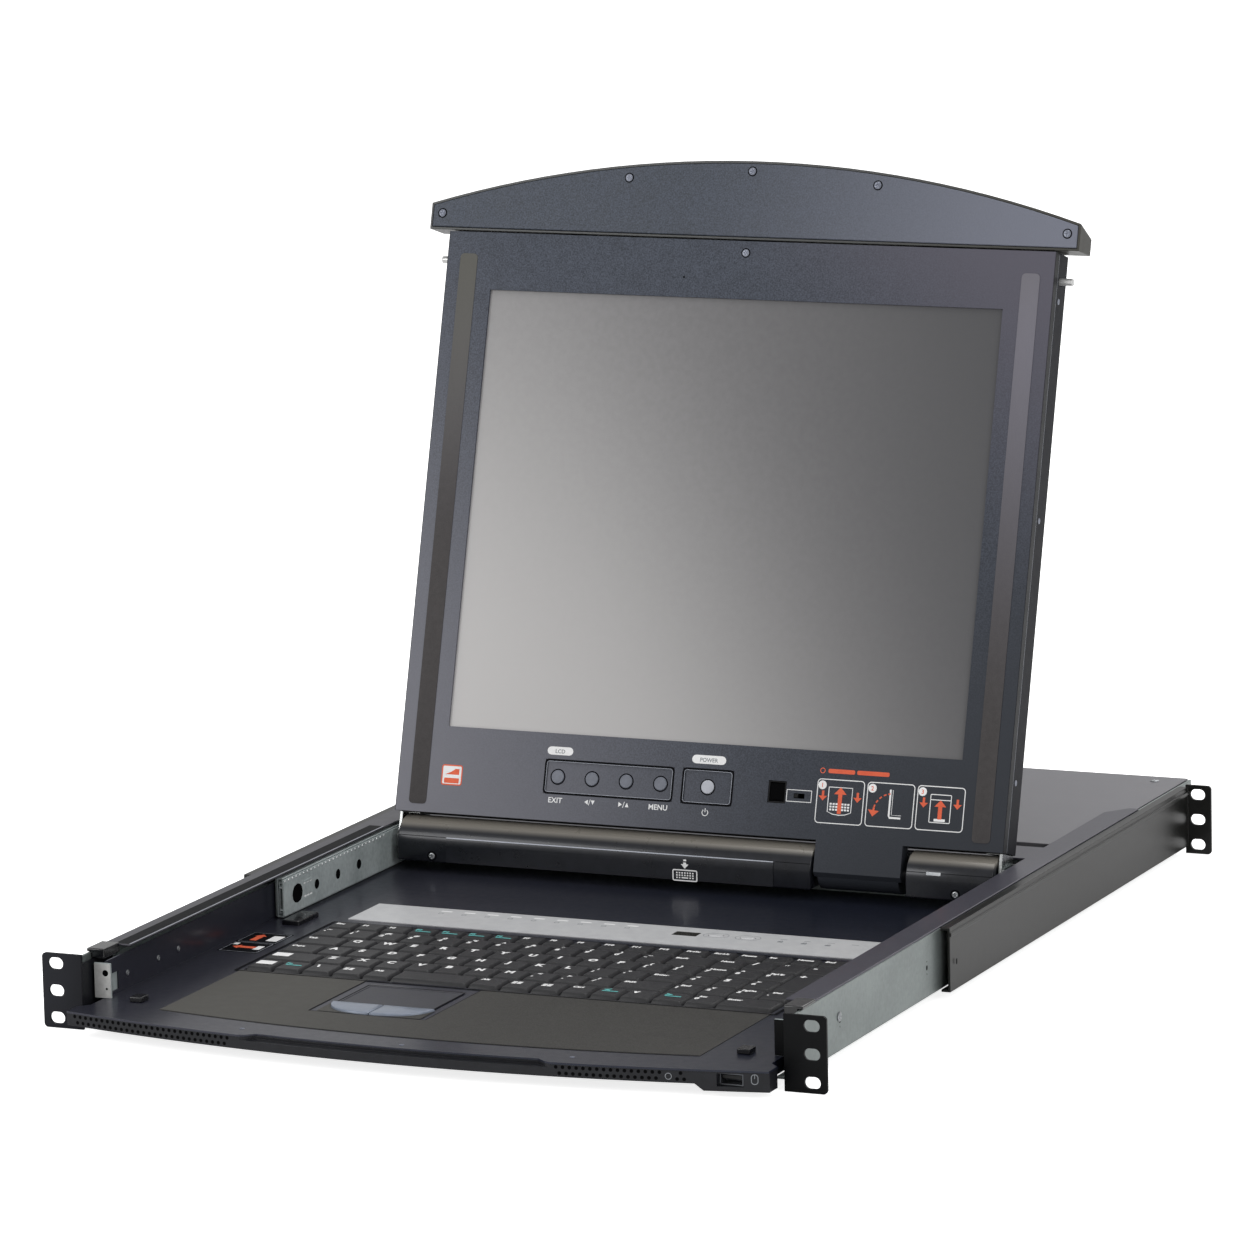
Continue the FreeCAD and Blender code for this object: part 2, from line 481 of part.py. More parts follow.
PLATE_BACK = "front_plate_y + front_plate_sheet"
channels, races, members = [], [], []
for name, side in SIDES:
    channels.append(c_section(side, ("runner_face", "rail_inner"), ("runner_lip", "rail_inner"),
                              "runner_middle",
                              "runner_half", "slide_sheet", "runner_front", "runner_back"))
    races.append(c_section(side, ("inner_race_face - slide_sheet", "inner_race_face"),
                           ("inner_race_lip", "inner_race_face"), "runner_middle", "inner_race_half",
                           "slide_sheet", "runner_front + 8", "runner_back - 10"))
    races += ball_strips(side, "runner_lip + 0.4", "runner_lip + 1.4", "runner_middle", "inner_race_half",
                         "runner_front + 20", "runner_back - 24")
    races += ball_strips(side, "inner_flange - 1.4", "inner_flange - 0.3", "runner_middle", "inner_half",
                         "runner_front + 20", "tray_back - 20")
    section = c_section(side, ("tray_half", "tray_half + slide_sheet"), ("tray_half", "inner_flange"),
                        "runner_middle",
                        "inner_half", "slide_sheet", PLATE_BACK, "tray_back")
    plate = box(across(side, "front_plate_inner", "front_plate_outer"), ("front_plate_y", PLATE_BACK),
                ("front_plate_low", "front_plate_high"))
    hole = rod("y", (signed(side, "tray_half - plate_hole_inset"), "plate_hole_z"), "plate_hole",
               "front_plate_y - 1", PLATE_BACK + " + 1")
    members.append(fuse(cut(plate, hole), section))
keep("tray_slide_channels", group(*channels))
keep("tray_slide_middles", group(*races))
keep("tray_slide_members", group(*members))

# ---------------------------------------------------------------- rear brackets
for name, side in SIDES:
    web = box(across(side, "bracket_outer - bracket_sheet", "bracket_outer"),
              ("bracket_front", "bracket_ear"),
              ("bracket_bottom", "bracket_top"))
    upper = box(across(side, "chassis_half + bracket_gap", "bracket_outer"),
                ("bracket_front", "bracket_ear"),
                ("bracket_top - bracket_sheet", "bracket_top"))
    lower = box(across(side, "chassis_half + bracket_gap", "bracket_outer"),
                ("bracket_front", "bracket_ear"),
                ("bracket_bottom", "bracket_bottom + bracket_sheet"))
    rib = box(across(side, "bracket_outer - 0.3", "bracket_outer + rib_proud"),
              ("bracket_front", "bracket_ear"),
              ("bracket_top - rib_drop - rib_wide", "bracket_top - rib_drop"))
    ear = rack_ear(side, "bracket_ear", "bracket_ear + ear_sheet", "bracket_outer - bracket_sheet")
    keep("rear_bracket_" + name, fuse(web, upper, lower, rib, ear))

# ---------------------------------------------------------------- keyboard tray
FRONT_AXIS = "tray_front + bow"
DECK_BOTTOM = "deck_top - deck_sheet"


def bowed(piece, radius, low, high):
    """Trims the front of a piece to the tray's bowed front line."""
    return common(piece, rod("z", ("0", FRONT_AXIS), radius, low, high))


GRIP_EASE = ((0, -0.06), (0.35, 0.16), (0.75, 0.85), (1.3, 1.4))


def grip_tool(low, high):
    """The finger grip: all in front of a smaller bow, between two ends that ease into the front line."""
    ends = []
    for edge, sign in (("grip_left", "+"), ("grip_right", "-")):
        line = "%s - sqrt(bow ^ 2 - %s ^ 2)" % (FRONT_AXIS, edge)
        ease = [("%s %s %.2f * grip_slope" % (edge, sign, along), "%s + %.2f * grip_deep" % (line, deep))
                for along, deep in GRIP_EASE]
        ends.append([(edge, line + " - 12"), *ease])
    wedge = profile("XY_Plane", ends[0] + ends[1][::-1], low, high)
    return cut(wedge, rod("z", ("0", FRONT_AXIS), "bow - grip_deep", "%s - 1" % low, "%s + 1" % high))


nose = [("-tray_nose_half", "tray_front - 1"), ("tray_nose_half", "tray_front - 1"),
        ("tray_nose_half", "nose_back"),
        ("tray_half", "nose_back + nose_taper"), ("tray_half", "tray_back"), ("-tray_half", "tray_back"),
        ("-tray_half", "nose_back + nose_taper"), ("-tray_nose_half", "nose_back")]
deck_plate = bowed(profile("XY_Plane", nose, DECK_BOTTOM, "deck_top"), "bow", DECK_BOTTOM, "deck_top")
sides = []
for name, side in SIDES:
    wall_x = across(side, "tray_half - deck_sheet", "tray_half")
    sides.append(box(wall_x, ("nose_back + nose_taper + 2", "tray_back"), ("tray_low", DECK_BOTTOM)))
    catch = box(across(side, "tray_half - 3", "tray_half + 1"),
                ("catch_slot_front", "catch_slot_front + catch_slot_long"),
                ("catch_slot_low", "catch_slot_high"))
    sides.append(cut(box(wall_x, ("wall_front", "tray_back"), ("deck_top", "wall_top")), catch))
tail = box(("-tray_half", "tray_half"), ("tray_back - deck_sheet", "tray_back"), ("tray_low", DECK_BOTTOM))
KEYS_BACK = "keys_front + 5 * key_deep + function_deep"
key_well = box(("-keys_half - 0.2", "keys_half + 0.2"), ("keys_front - 0.2", KEYS_BACK + " + 0.2"),
               (DECK_BOTTOM + " - 1", "deck_top + 1"))
BUTTONS_LEFT = "pad_left - pad_button_side"
BUTTONS_RIGHT = "pad_right + pad_button_side"
pad_well = box((BUTTONS_LEFT + " - button_gap", BUTTONS_RIGHT + " + button_gap"),
               ("pad_button_front - button_gap", "pad_front - 0.6"), (DECK_BOTTOM + " - 1", "deck_top + 1"))


def oval(x, y, long, wide, low, high):
    """An upright block with round ends along X."""
    reach = "(%s - %s) / 2" % (long, wide)
    middle = box(("%s - %s" % (x, reach), "%s + %s" % (x, reach)),
                 ("%s - %s / 2" % (y, wide), "%s + %s / 2" % (y, wide)),
                 (low, high))
    ends = [rod("z", ("%s %s %s" % (x, sign, reach), y), "%s / 2" % wide, low, high) for sign in "+-"]
    return fuse(middle, *ends)


STRIP_BUTTONS = ["strip_button_x + %d * strip_button_pitch" % i for i in (0, 1)]
WELL_LONG = "(strip_button_long + 2 * button_gap)"
WELL_WIDE = "(strip_button_wide + 2 * button_gap)"
deck_wells = [box(("%s - %s / 2" % (x, WELL_LONG), "%s + %s / 2" % (x, WELL_LONG)),
                  ("strip_button_y - %s / 2" % WELL_WIDE, "strip_button_y + %s / 2" % WELL_WIDE),
                  (DECK_BOTTOM + " - 1", "deck_top + 1")) for x in STRIP_BUTTONS]
button_wells = [oval(x, "strip_button_y", WELL_LONG, WELL_WIDE, "deck_top - 1",
                     "deck_top + strip_sheet + 1")
                for x in STRIP_BUTTONS]
window_well = box(("window_x - window_long / 2", "window_x + window_long / 2"),
                  ("window_y - window_wide / 2", "window_y + window_wide / 2"),
                  ("deck_top + strip_sheet - 0.3", "deck_top + strip_sheet + 1"))
keep("tray_deck", cut(fuse(deck_plate, *sides, tail), grip_tool(DECK_BOTTOM + " - 1", "deck_top + 1"),
                      key_well,
                      pad_well, *deck_wells))
bottom_half = "(tray_half - deck_sheet - 0.1)"
bottom = box(("-" + bottom_half, bottom_half), ("tray_front", "tray_back - deck_sheet"),
             ("tray_low", "tray_low + bottom_sheet"))
keep("tray_bottom", bowed(bottom, "bow - bar_deep - 0.1", "tray_low", "tray_low + bottom_sheet"))

bar = box(("-tray_nose_half", "tray_nose_half"), ("tray_front - 1", "nose_back"), ("tray_low", DECK_BOTTOM))
block_corners = [("block_left - block_slope", "tray_low + 0.1"), ("block_left", "block_low"),
                 ("tray_nose_half", "block_low"), ("tray_nose_half", "tray_low + 0.1")]
block = profile("XZ_Plane", block_corners, "tray_front - 1", "nose_back")
solid_bar = bowed(fuse(bar, block), "bow - bar_setback", "block_low", DECK_BOTTOM)
bar_back = rod("z", ("0", FRONT_AXIS), "bow - bar_deep", "block_low - 1", DECK_BOTTOM + " + 1")
usb_hole = box(("usb_x - usb_wide / 2 - 0.1", "usb_x + usb_wide / 2 + 0.1"), ("tray_front - 2", "0"),
               ("usb_z - usb_tall / 2 - 0.1", "usb_z + usb_tall / 2 + 0.1"))
keep("front_bar", cut(solid_bar, bar_back, grip_tool("grip_ledge", DECK_BOTTOM + " + 1"), usb_hole))

USB_FRONT = "%s - sqrt(bow ^ 2 - usb_x ^ 2) + 2.5" % FRONT_AXIS
usb_shell = box(("usb_x - usb_wide / 2", "usb_x + usb_wide / 2"), (USB_FRONT, USB_FRONT + " + usb_deep"),
                ("usb_z - usb_tall / 2", "usb_z + usb_tall / 2"))
usb_hollow = box(("usb_x - usb_wide / 2 + usb_wall", "usb_x + usb_wide / 2 - usb_wall"),
                 (USB_FRONT + " - 1", USB_FRONT + " + usb_deep - 2"),
                 ("usb_z - usb_tall / 2 + usb_wall", "usb_z + usb_tall / 2 - usb_wall"))
keep("usb_port", cut(usb_shell, usb_hollow))

film = box(("-film_half", "film_half"), ("tray_front", "film_back"), ("deck_top", "deck_top + film_sheet"))
film_notch = box(("film_notch_left", "film_notch_right"), ("pad_button_front - 1.5", "film_back + 1"),
                 ("deck_top - 1", "deck_top + 1"))
keep("palm_film", cut(bowed(film, "bow - film_front", "deck_top", "deck_top + film_sheet"), film_notch))

keep("touchpad", cut(box(("pad_left", "pad_right"), ("pad_front", "pad_back"),
                         ("deck_top", "deck_top + pad_sheet")),
                     box(("pad_left + pad_rim", "pad_right - pad_rim"),
                         ("pad_front + pad_rim", "pad_back - pad_rim"),
                         ("deck_top + 0.2", "deck_top + 2"))))
PAD_MIDDLE = "(pad_left + pad_right) / 2"
PAD_BOW = "(((pad_right - pad_left) / 2 + pad_button_side) ^ 2 / (2 * pad_button_bow) + pad_button_bow / 2)"
for name, low, high in (("left", BUTTONS_LEFT, PAD_MIDDLE + " - 0.3"),
                        ("right", PAD_MIDDLE + " + 0.3", BUTTONS_RIGHT)):
    button_z = ("pad_button_top - 2.4", "pad_button_top")
    block = box((low, high), ("pad_button_front", "pad_front - 1"), button_z)
    curve = rod("z", (PAD_MIDDLE, "pad_button_front + " + PAD_BOW), PAD_BOW, *button_z)
    keep("touchpad_button_" + name, common(block, curve))

strip_plate = box(("-strip_half", "strip_half"), ("strip_front", "strip_back"),
                  ("deck_top", "deck_top + strip_sheet"))
keep("status_strip", cut(strip_plate, window_well, *button_wells))
for name, x in zip(("left", "right"), STRIP_BUTTONS):
    keep("strip_button_" + name, oval(x, "strip_button_y", "strip_button_long", "strip_button_wide",
                                      DECK_BOTTOM, "deck_top + strip_sheet + 0.4"))

keep("keyboard_base", box(("-keys_half - 3", "keys_half + 3"), ("keys_front - 3", KEYS_BACK + " + 3"),
                          ("tray_low + bottom_sheet", "key_base_top")))
keep("rest_bumpers", group(*[box(across(side, "bumper_x - bumper_long / 2", "bumper_x + bumper_long / 2"),
                                 ("bumper_y - bumper_wide / 2", "bumper_y + bumper_wide / 2"),
                                 ("deck_top", "deck_top + bumper_tall")) for name, side in SIDES]))


def keycap(left, width, front, deep):
    """One tapered keycap between formulas for its left and front edges, its width and its depth."""
    item = doc.addObject("Part::Wedge", "key")
    long = "%s - key_gap" % deep
    values = {"Xmin": "0", "Xmax": "%s - key_gap" % width, "X2min": "key_taper",
              "X2max": "%s - key_gap - key_taper" % width, "Zmin": "0", "Zmax": long, "Z2min": "key_taper",
              "Z2max": "%s - key_taper * 0.7" % long, "Ymin": "0", "Ymax": "key_top - key_bottom"}
    for prop, text in values.items():
        bind(item, prop, text)
    item.Placement = FreeCAD.Placement(FreeCAD.Vector(), FreeCAD.Rotation(FreeCAD.Vector(1, 0, 0), 90))
    return place(item, "%s + key_gap / 2" % left, "%s + %s - key_gap / 2" % (front, deep), "key_bottom")


def key_row(widths, row, left, span, deep="key_deep"):
    """A row of keycaps whose widths share a span; row counts from the front."""
    total, keys, done = sum(widths), [], 0.0
    for width in widths:
        keys.append(keycap("%s + %s * %.4f" % (left, span, done / total),
                           "(%s * %.4f)" % (span, width / total),
                           "keys_front + %d * key_deep" % row, deep))
        done += width
    return keys


FULL_SPAN = "(2 * keys_half)"
MAIN_SPAN = "(2 * keys_half - number_pad)"
PAD_EDGE = "keys_half - number_pad"
MAIN_ROWS = ([1.75, *[1] * 10, 1.75], [1.25, *[1] * 11, 1.25], [1.5, *[1] * 12], [*[1] * 12, 1.5])
BOTTOM_ROW = (17.5, 18, 19.5, 19.5, 18, 49.5, 20, 18.9, 18.8, 18.2, 18.1, 19.9, 20.1, 19.4, 35.6)
keep("function_keys", group(*key_row([1] * 19, 5, "-keys_half", FULL_SPAN, "function_deep")))
keep("typing_keys", group(*[key for row, widths in enumerate(MAIN_ROWS, start=1)
                            for key in key_row(widths, row, "-keys_half", MAIN_SPAN)]))
keep("bottom_keys", group(*key_row(BOTTOM_ROW, 0, "-keys_half", FULL_SPAN)))
pad_keys = [key for row in (1, 4) for key in key_row([1] * 4, row, PAD_EDGE, "number_pad")]
pad_keys += [key for row in (2, 3) for key in key_row([1] * 3, row, PAD_EDGE, "(number_pad * 0.75)")]
pad_keys.append(keycap(PAD_EDGE + " + number_pad * 0.75", "(number_pad * 0.25)",
                       "keys_front + 2 * key_deep",
                       "(2 * key_deep)"))
keep("number_keys", group(*pad_keys))

# ---------------------------------------------------------------- display carrier
BAR_FRONT = "hinge_y - bar_round"


def hinge_bar(low, high, bored_end):
    """A rolled hinge housing: round on top, straight sides, open below, with closed ends, one bored."""
    outer = fuse(rod("x", ("hinge_y", "hinge_z"), "bar_round", low, high),
                 box((low, high), (BAR_FRONT, "hinge_y + bar_round"), ("bar_bottom", "hinge_z")))
    floor_cut = box(("%s - 1" % low, "%s + 1" % high),
                    ("hinge_y - 2 * bar_round", "hinge_y + 2 * bar_round"),
                    ("hinge_z - 2 * bar_round", "bar_bottom"))
    room = ("%s + bar_shell" % low, "%s - bar_shell" % high)
    inner = fuse(rod("x", ("hinge_y", "hinge_z"), "bar_round - bar_shell", *room),
                 box(room, (BAR_FRONT + " + bar_shell", "hinge_y + bar_round - bar_shell"),
                     ("bar_bottom - 1", "hinge_z")))
    bore = rod("x", ("hinge_y", "hinge_z"), "shaft_round + shaft_fit", "%s - bar_shell - 1" % bored_end,
               "%s + bar_shell + 1" % bored_end)
    return cut(outer, floor_cut, inner, bore)


left_bar = hinge_bar("-bar_end", "bar_left_end", "bar_left_end")
PLATE_SPAN = ("bar_plate_left", "bar_plate_right")
plate_skin = fuse(rod("x", ("hinge_y", "hinge_z"), "bar_round + bar_plate_proud", *PLATE_SPAN),
                  box(PLATE_SPAN, (BAR_FRONT + " - bar_plate_proud", "hinge_y"),
                      ("bar_bottom + 0.5", "hinge_z")))
plate_reach = box(PLATE_SPAN, (BAR_FRONT + " - 2", BAR_FRONT + " + 3"),
                  ("bar_bottom + 0.5", "bar_plate_high"))
plate_core = fuse(rod("x", ("hinge_y", "hinge_z"), "bar_round - 0.5", "bar_plate_left - 1",
                      "bar_plate_right + 1"),
                  box(("bar_plate_left - 1", "bar_plate_right + 1"), (BAR_FRONT + " + 0.5", "hinge_y"),
                      ("bar_bottom - 1", "hinge_z")))
bar_plate = cut(common(plate_skin, plate_reach), plate_core)
keep("hinge_bar_left", fuse(left_bar, bar_plate))
keep("hinge_bar_right", hinge_bar("bar_right_start", "bar_end", "bar_right_start"))

BEAM_FRONT = "hinge_y + bar_round + beam_gap"
beam = box(("-member_face", "member_face"), (BEAM_FRONT, BEAM_FRONT + " + beam_sheet"),
           ("beam_bottom", "beam_top"))
beam_foot = box(("-member_face", "member_face"), (BEAM_FRONT, BEAM_FRONT + " + beam_foot"),
                ("beam_bottom", "beam_bottom + beam_sheet"))
beam_ends = [box(across(side, "member_face - beam_sheet", "member_face"),
                 (BEAM_FRONT, "slide_front + member_long"),
                 ("beam_bottom", "beam_top - 1")) for name, side in SIDES]
keep("carrier_beam", fuse(beam, beam_foot, *beam_ends))

shafts = [rod("x", ("hinge_y", "hinge_z"), "shaft_round", "tab_left - shaft_reach",
              "tab_right + shaft_reach")]
for name, side in SIDES:
    stub = rod("x", ("hinge_y", "hinge_z"), "shaft_round", *across(side, "bar_end", "member_face"))
    nut = prism("x", ("hinge_y", "hinge_z"), "nut_round",
                *across(side, "arm_inner + arm_sheet + nut_gap", "member_face"))
    shafts.append(fuse(stub, nut))
keep("hinge_shafts", group(*shafts))

# ---------------------------------------------------------------- display module, tilted about the hinge line
LCD_BACK = "lcd_front + lcd_thick"


def tilted(name, item):
    """Keeps a sub-part that was drawn upright and leans it back about the hinge line."""
    item = group(item)
    item.Placement = FreeCAD.Placement(FreeCAD.Vector(), FreeCAD.Rotation(FreeCAD.Vector(1, 0, 0), -1))
    bind(item, "Placement.Rotation.Angle", "-tilt")
    return keep(name, place(item, "0", "hinge_y", "hinge_z"))


SCREEN_TOP = "screen_bottom + screen_tall"
BEZEL_BACK = "lcd_front + bezel_thick"
THROUGH_BEZEL = ("lcd_front - 1", BEZEL_BACK + " + 1")
frame_plate = box(("-lcd_half", "lcd_half"), ("lcd_front", BEZEL_BACK), ("lcd_bottom", "lcd_top"))
tab_corners = [("lcd_front", "tab_bottom + tab_corner"), ("lcd_front + tab_corner", "tab_bottom"),
               ("lcd_front + tab_thick", "tab_bottom"), ("lcd_front + tab_thick", "lcd_bottom"),
               ("lcd_front", "lcd_bottom")]
tab = profile("YZ_Plane", tab_corners, "tab_left", "tab_right")
KNUCKLE_SPAN = ("tab_left + knuckle_inset", "tab_right - knuckle_inset")
knuckle = rod("x", ("0", "0"), "knuckle_round", *KNUCKLE_SPAN)
neck = box(KNUCKLE_SPAN, ("lcd_front + 4", "0"), ("0", "lcd_bottom"))
screen_hole = box(("-screen_half", "screen_half"), THROUGH_BEZEL, ("screen_bottom", SCREEN_TOP))
panel_room = box(("-screen_half - panel_margin - panel_play", "screen_half + panel_margin + panel_play"),
                 ("lcd_front + panel_recess", BEZEL_BACK + " + 1"),
                 ("screen_bottom - panel_margin - panel_play", SCREEN_TOP + " + panel_margin + panel_play"))
SINK_Y = ("lcd_front - 1", "lcd_front + panel_sink")
osd_sink = box(("osd_x - osd_panel_wide / 2", "osd_x + osd_panel_wide / 2"), SINK_Y,
               ("osd_z - osd_panel_tall / 2", "osd_z + osd_panel_tall / 2"))
power_sink = box(("power_x - power_panel_wide / 2", "power_x + power_panel_wide / 2"), SINK_Y,
                 ("osd_z - power_panel_tall / 2", "osd_z + power_panel_tall / 2"))
BUTTONS = [("osd_button_%d" % (i + 1), "osd_x + %.1f * osd_pitch" % (i - 1.5)) for i in range(4)]
BUTTONS.append(("power_button", "power_x"))
bores = [rod("y", (x, "osd_z"), "osd_round + osd_gap", *THROUGH_BEZEL) for name, x in BUTTONS]
port_hole = box(("port_x - port_wide / 2", "port_x + port_wide / 2"), THROUGH_BEZEL,
                ("osd_z - port_tall / 2", "osd_z + port_tall / 2"))
mode_hole = box(("mode_x - mode_slot_long / 2", "mode_x + mode_slot_long / 2"), THROUGH_BEZEL,
                ("mode_z - mode_slot_tall / 2", "mode_z + mode_slot_tall / 2"))
knuckle_bore = rod("x", ("0", "0"), "shaft_round + shaft_play", "tab_left - 1", "tab_right + 1")
tilted("lcd_bezel", cut(fuse(frame_plate, tab, knuckle, neck), screen_hole, panel_room, osd_sink,
                        power_sink,
                        *bores, port_hole, mode_hole, knuckle_bore))

cover_block = box(("-lcd_half", "lcd_half"), (BEZEL_BACK, LCD_BACK), ("lcd_bottom", "lcd_top"))
cover_room = box(("-lcd_half + lcd_shell", "lcd_half - lcd_shell"),
                 (BEZEL_BACK + " - 1", LCD_BACK + " - lcd_shell"),
                 ("lcd_bottom + lcd_shell", "lcd_top - lcd_shell"))
chamfers = [profile("XY_Plane", [(signed(side, "lcd_half - back_step"), LCD_BACK + " + 0.1"),
                                 (signed(side, "lcd_half + 0.1"), LCD_BACK + " + 0.1"),
                                 (signed(side, "lcd_half + 0.1"), LCD_BACK + " - back_step")],
                    "lcd_bottom - 1", "lcd_top + 1") for name, side in SIDES]
PIN_ROOM = "(pin_round + pin_gap)"
pin_holes = [box(across(side, "lcd_half - 5", "lcd_half + 2"),
                 ("pin_y - " + PIN_ROOM, "pin_y + " + PIN_ROOM),
                 ("pin_z - " + PIN_ROOM, "pin_z + " + PIN_ROOM)) for name, side in SIDES]
back_vents = [box(("%d * back_vent_pitch - back_vent_wide / 2" % step,
                   "%d * back_vent_pitch + back_vent_wide / 2" % step),
                  (LCD_BACK + " - lcd_shell - 1", LCD_BACK + " + 1"), (z, z + " + back_vent_tall"))
              for step in range(-2, 3) for z in ("lcd_top - back_vent_high",)]
tilted("lcd_back_cover", cut(cover_block, cover_room, *chamfers, *pin_holes, *back_vents))

GLASS_FRONT = "lcd_front + panel_recess + 0.05"
tilted("lcd_panel", box(("-screen_half - panel_margin", "screen_half + panel_margin"),
                        (GLASS_FRONT, GLASS_FRONT + " + glass_thick"),
                        ("screen_bottom - panel_margin", SCREEN_TOP + " + panel_margin")))

HANDLE_LOW = "lcd_top + handle_gap"
HANDLE_ROUND = "(handle_half ^ 2 / (2 * handle_rise) + handle_rise / 2)"
HANDLE_TOP = HANDLE_LOW + " + handle_side + handle_rise"


def handle_blank(inset, low, high, taper):
    """A slab inset from the handle outline, under a slightly conical arc that gives the curved top edge."""
    arc = doc.addObject("Part::Cone", "rim")
    bind(arc, "Radius1", "%s - (%s)" % (HANDLE_ROUND, inset))
    bind(arc, "Radius2", "%s - (%s) - %s" % (HANDLE_ROUND, inset, taper))
    bind(arc, "Height", "(%s) - (%s)" % (high, low))
    arc.Placement = FreeCAD.Placement(FreeCAD.Vector(), FreeCAD.Rotation(FreeCAD.Vector(1, 0, 0), -90))
    place(arc, "0", low, "%s - %s" % (HANDLE_TOP, HANDLE_ROUND))
    slab = box(("-handle_half + %s" % inset, "handle_half - (%s)" % inset), (low, high),
               (HANDLE_LOW + " + " + inset, HANDLE_TOP))
    return common(slab, arc)


HANDLE_BACK = "lcd_front + handle_deep"
PLATE_BACK_FACE = "lcd_front + plate_sheet"
handle_solid = handle_blank("0", "lcd_front", HANDLE_BACK, "handle_taper")
handle_room = handle_blank("handle_wall", "lcd_front - 1", HANDLE_BACK + " - handle_wall", "handle_taper")
plate_seat = handle_blank("plate_inset", "lcd_front - 1", PLATE_BACK_FACE, "0.5")
lugs = [box(("%s - lug_wide / 2" % x, "%s + lug_wide / 2" % x), ("-lug_deep / 2", "lug_deep / 2"),
            ("lcd_top", HANDLE_LOW + " + handle_wall")) for x in ("-lug_x", "0", "lug_x")]
tilted("handle_shell", fuse(cut(handle_solid, handle_room, plate_seat), *lugs))
tilted("handle_plate", handle_blank("plate_inset + plate_gap", "lcd_front - plate_proud", PLATE_BACK_FACE,
                                    "0.5"))

STRIPS = [signed(side, "grip_strip_x") for name, side in SIDES]
tilted("grip_strips", group(*[box(("%s - grip_strip_wide / 2" % x, "%s + grip_strip_wide / 2" % x),
                                  ("lcd_front - grip_strip_sheet", "lcd_front"),
                                  ("grip_strip_low", "grip_strip_high")) for x in STRIPS]))

for name, x in BUTTONS:
    tilted(name, prism("y", (x, "osd_z"), "osd_round", "lcd_front + 0.15", "lcd_front + 0.15 + osd_long",
                       sides=24))

port = box(("port_x - port_wide / 2 + 0.1", "port_x + port_wide / 2 - 0.1"),
           ("lcd_front + 0.2", "lcd_front + port_deep"),
           ("osd_z - port_tall / 2 + 0.1", "osd_z + port_tall / 2 - 0.1"))
port_hollow = box(("port_x - port_wide / 2 + port_wall", "port_x + port_wide / 2 - port_wall"),
                  ("lcd_front - 1", "lcd_front + port_deep - 1.2"),
                  ("osd_z - port_tall / 2 + port_wall", "osd_z + port_tall / 2 - port_wall"))
tilted("upgrade_port", cut(port, port_hollow))
KNOB_LEFT = "mode_x - mode_slot_long / 2 + 0.3"
tilted("mode_switch_knob", box((KNOB_LEFT, KNOB_LEFT + " + mode_knob_long"),
                               ("lcd_front - 0.2", "lcd_front + 3"),
                               ("mode_z - mode_slot_tall / 2 + 0.25",
                                "mode_z + mode_slot_tall / 2 - 0.25")))
for name, side in SIDES:
    tilted("catch_pin_" + name,
           rod("x", ("pin_y", "pin_z"), "pin_round", *across(side, "pin_root", "pin_tip")))

arms = []
for name, side in SIDES:
    arm_x = across(side, "arm_inner", "arm_inner + arm_sheet")
    disc = rod("x", ("0", "0"), "arm_round", *arm_x)
    web = box(arm_x, ("-arm_round", "arm_round"), ("0", "lcd_bottom"))
    foot = box(across(side, "arm_inner - arm_foot", "arm_inner + arm_sheet"), ("-5", "arm_round"),
               ("lcd_bottom - 0.8", "lcd_bottom"))
    bore = rod("x", ("0", "0"), "shaft_round + shaft_play",
               *across(side, "arm_inner - 1", "arm_inner + arm_sheet + 1"))
    arms.append(cut(fuse(disc, web, foot), bore))
tilted("hinge_arms", group(*arms))

# ---------------------------------------------------------------- check and write
doc.recompute()
for item in doc.Objects:
    if "Invalid" in item.State or "Error" in item.State:
        raise RuntimeError("%s (%s) did not rebuild" % (item.Name, item.Label))
os.makedirs("parts", exist_ok=True)
for name, item in nodes.items():
    shape = item.Shape
    if shape.isNull() or not shape.isValid() or not shape.Solids:
        raise RuntimeError("%s has no valid solid" % name)
    shape.exportStep("parts/%s.step" % name)
print("%d sub-parts, %d solids" % (len(nodes), sum(len(item.Shape.Solids) for item in nodes.values())))
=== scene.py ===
import bpy
import bmesh
import json
import math
import numpy as np
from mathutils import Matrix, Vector


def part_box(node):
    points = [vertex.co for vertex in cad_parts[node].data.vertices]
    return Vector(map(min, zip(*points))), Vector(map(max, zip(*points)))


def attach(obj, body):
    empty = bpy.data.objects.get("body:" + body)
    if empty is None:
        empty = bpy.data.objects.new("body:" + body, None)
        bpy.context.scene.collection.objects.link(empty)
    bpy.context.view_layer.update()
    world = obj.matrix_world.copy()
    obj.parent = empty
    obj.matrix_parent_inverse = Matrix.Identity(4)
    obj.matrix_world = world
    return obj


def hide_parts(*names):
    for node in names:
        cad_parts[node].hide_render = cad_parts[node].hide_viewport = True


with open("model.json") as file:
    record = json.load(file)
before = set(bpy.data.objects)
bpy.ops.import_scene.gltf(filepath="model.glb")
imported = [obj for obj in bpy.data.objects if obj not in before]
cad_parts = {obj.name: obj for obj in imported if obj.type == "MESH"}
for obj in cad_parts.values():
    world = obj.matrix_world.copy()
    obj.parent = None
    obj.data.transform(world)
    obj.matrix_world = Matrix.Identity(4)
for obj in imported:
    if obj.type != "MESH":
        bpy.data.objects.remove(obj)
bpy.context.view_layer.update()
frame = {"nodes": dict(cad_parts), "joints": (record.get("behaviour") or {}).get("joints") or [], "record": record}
nodes = frame["nodes"]
print("frame loaded:", len(nodes), "nodes")

bodyOf = {node: body for body, group in frame["record"]["behaviour"]["bodies"].items() for node in group}
slotOf = {part["node"]: part["material_slot"] for part in frame["record"]["subparts"]}
hinge = next(joint for joint in frame["joints"] if joint["name"] == "lcd_hinge")
mm = 0.001
hingeY, hingeZ = (value / mm for value in hinge["pos_m"][1:])


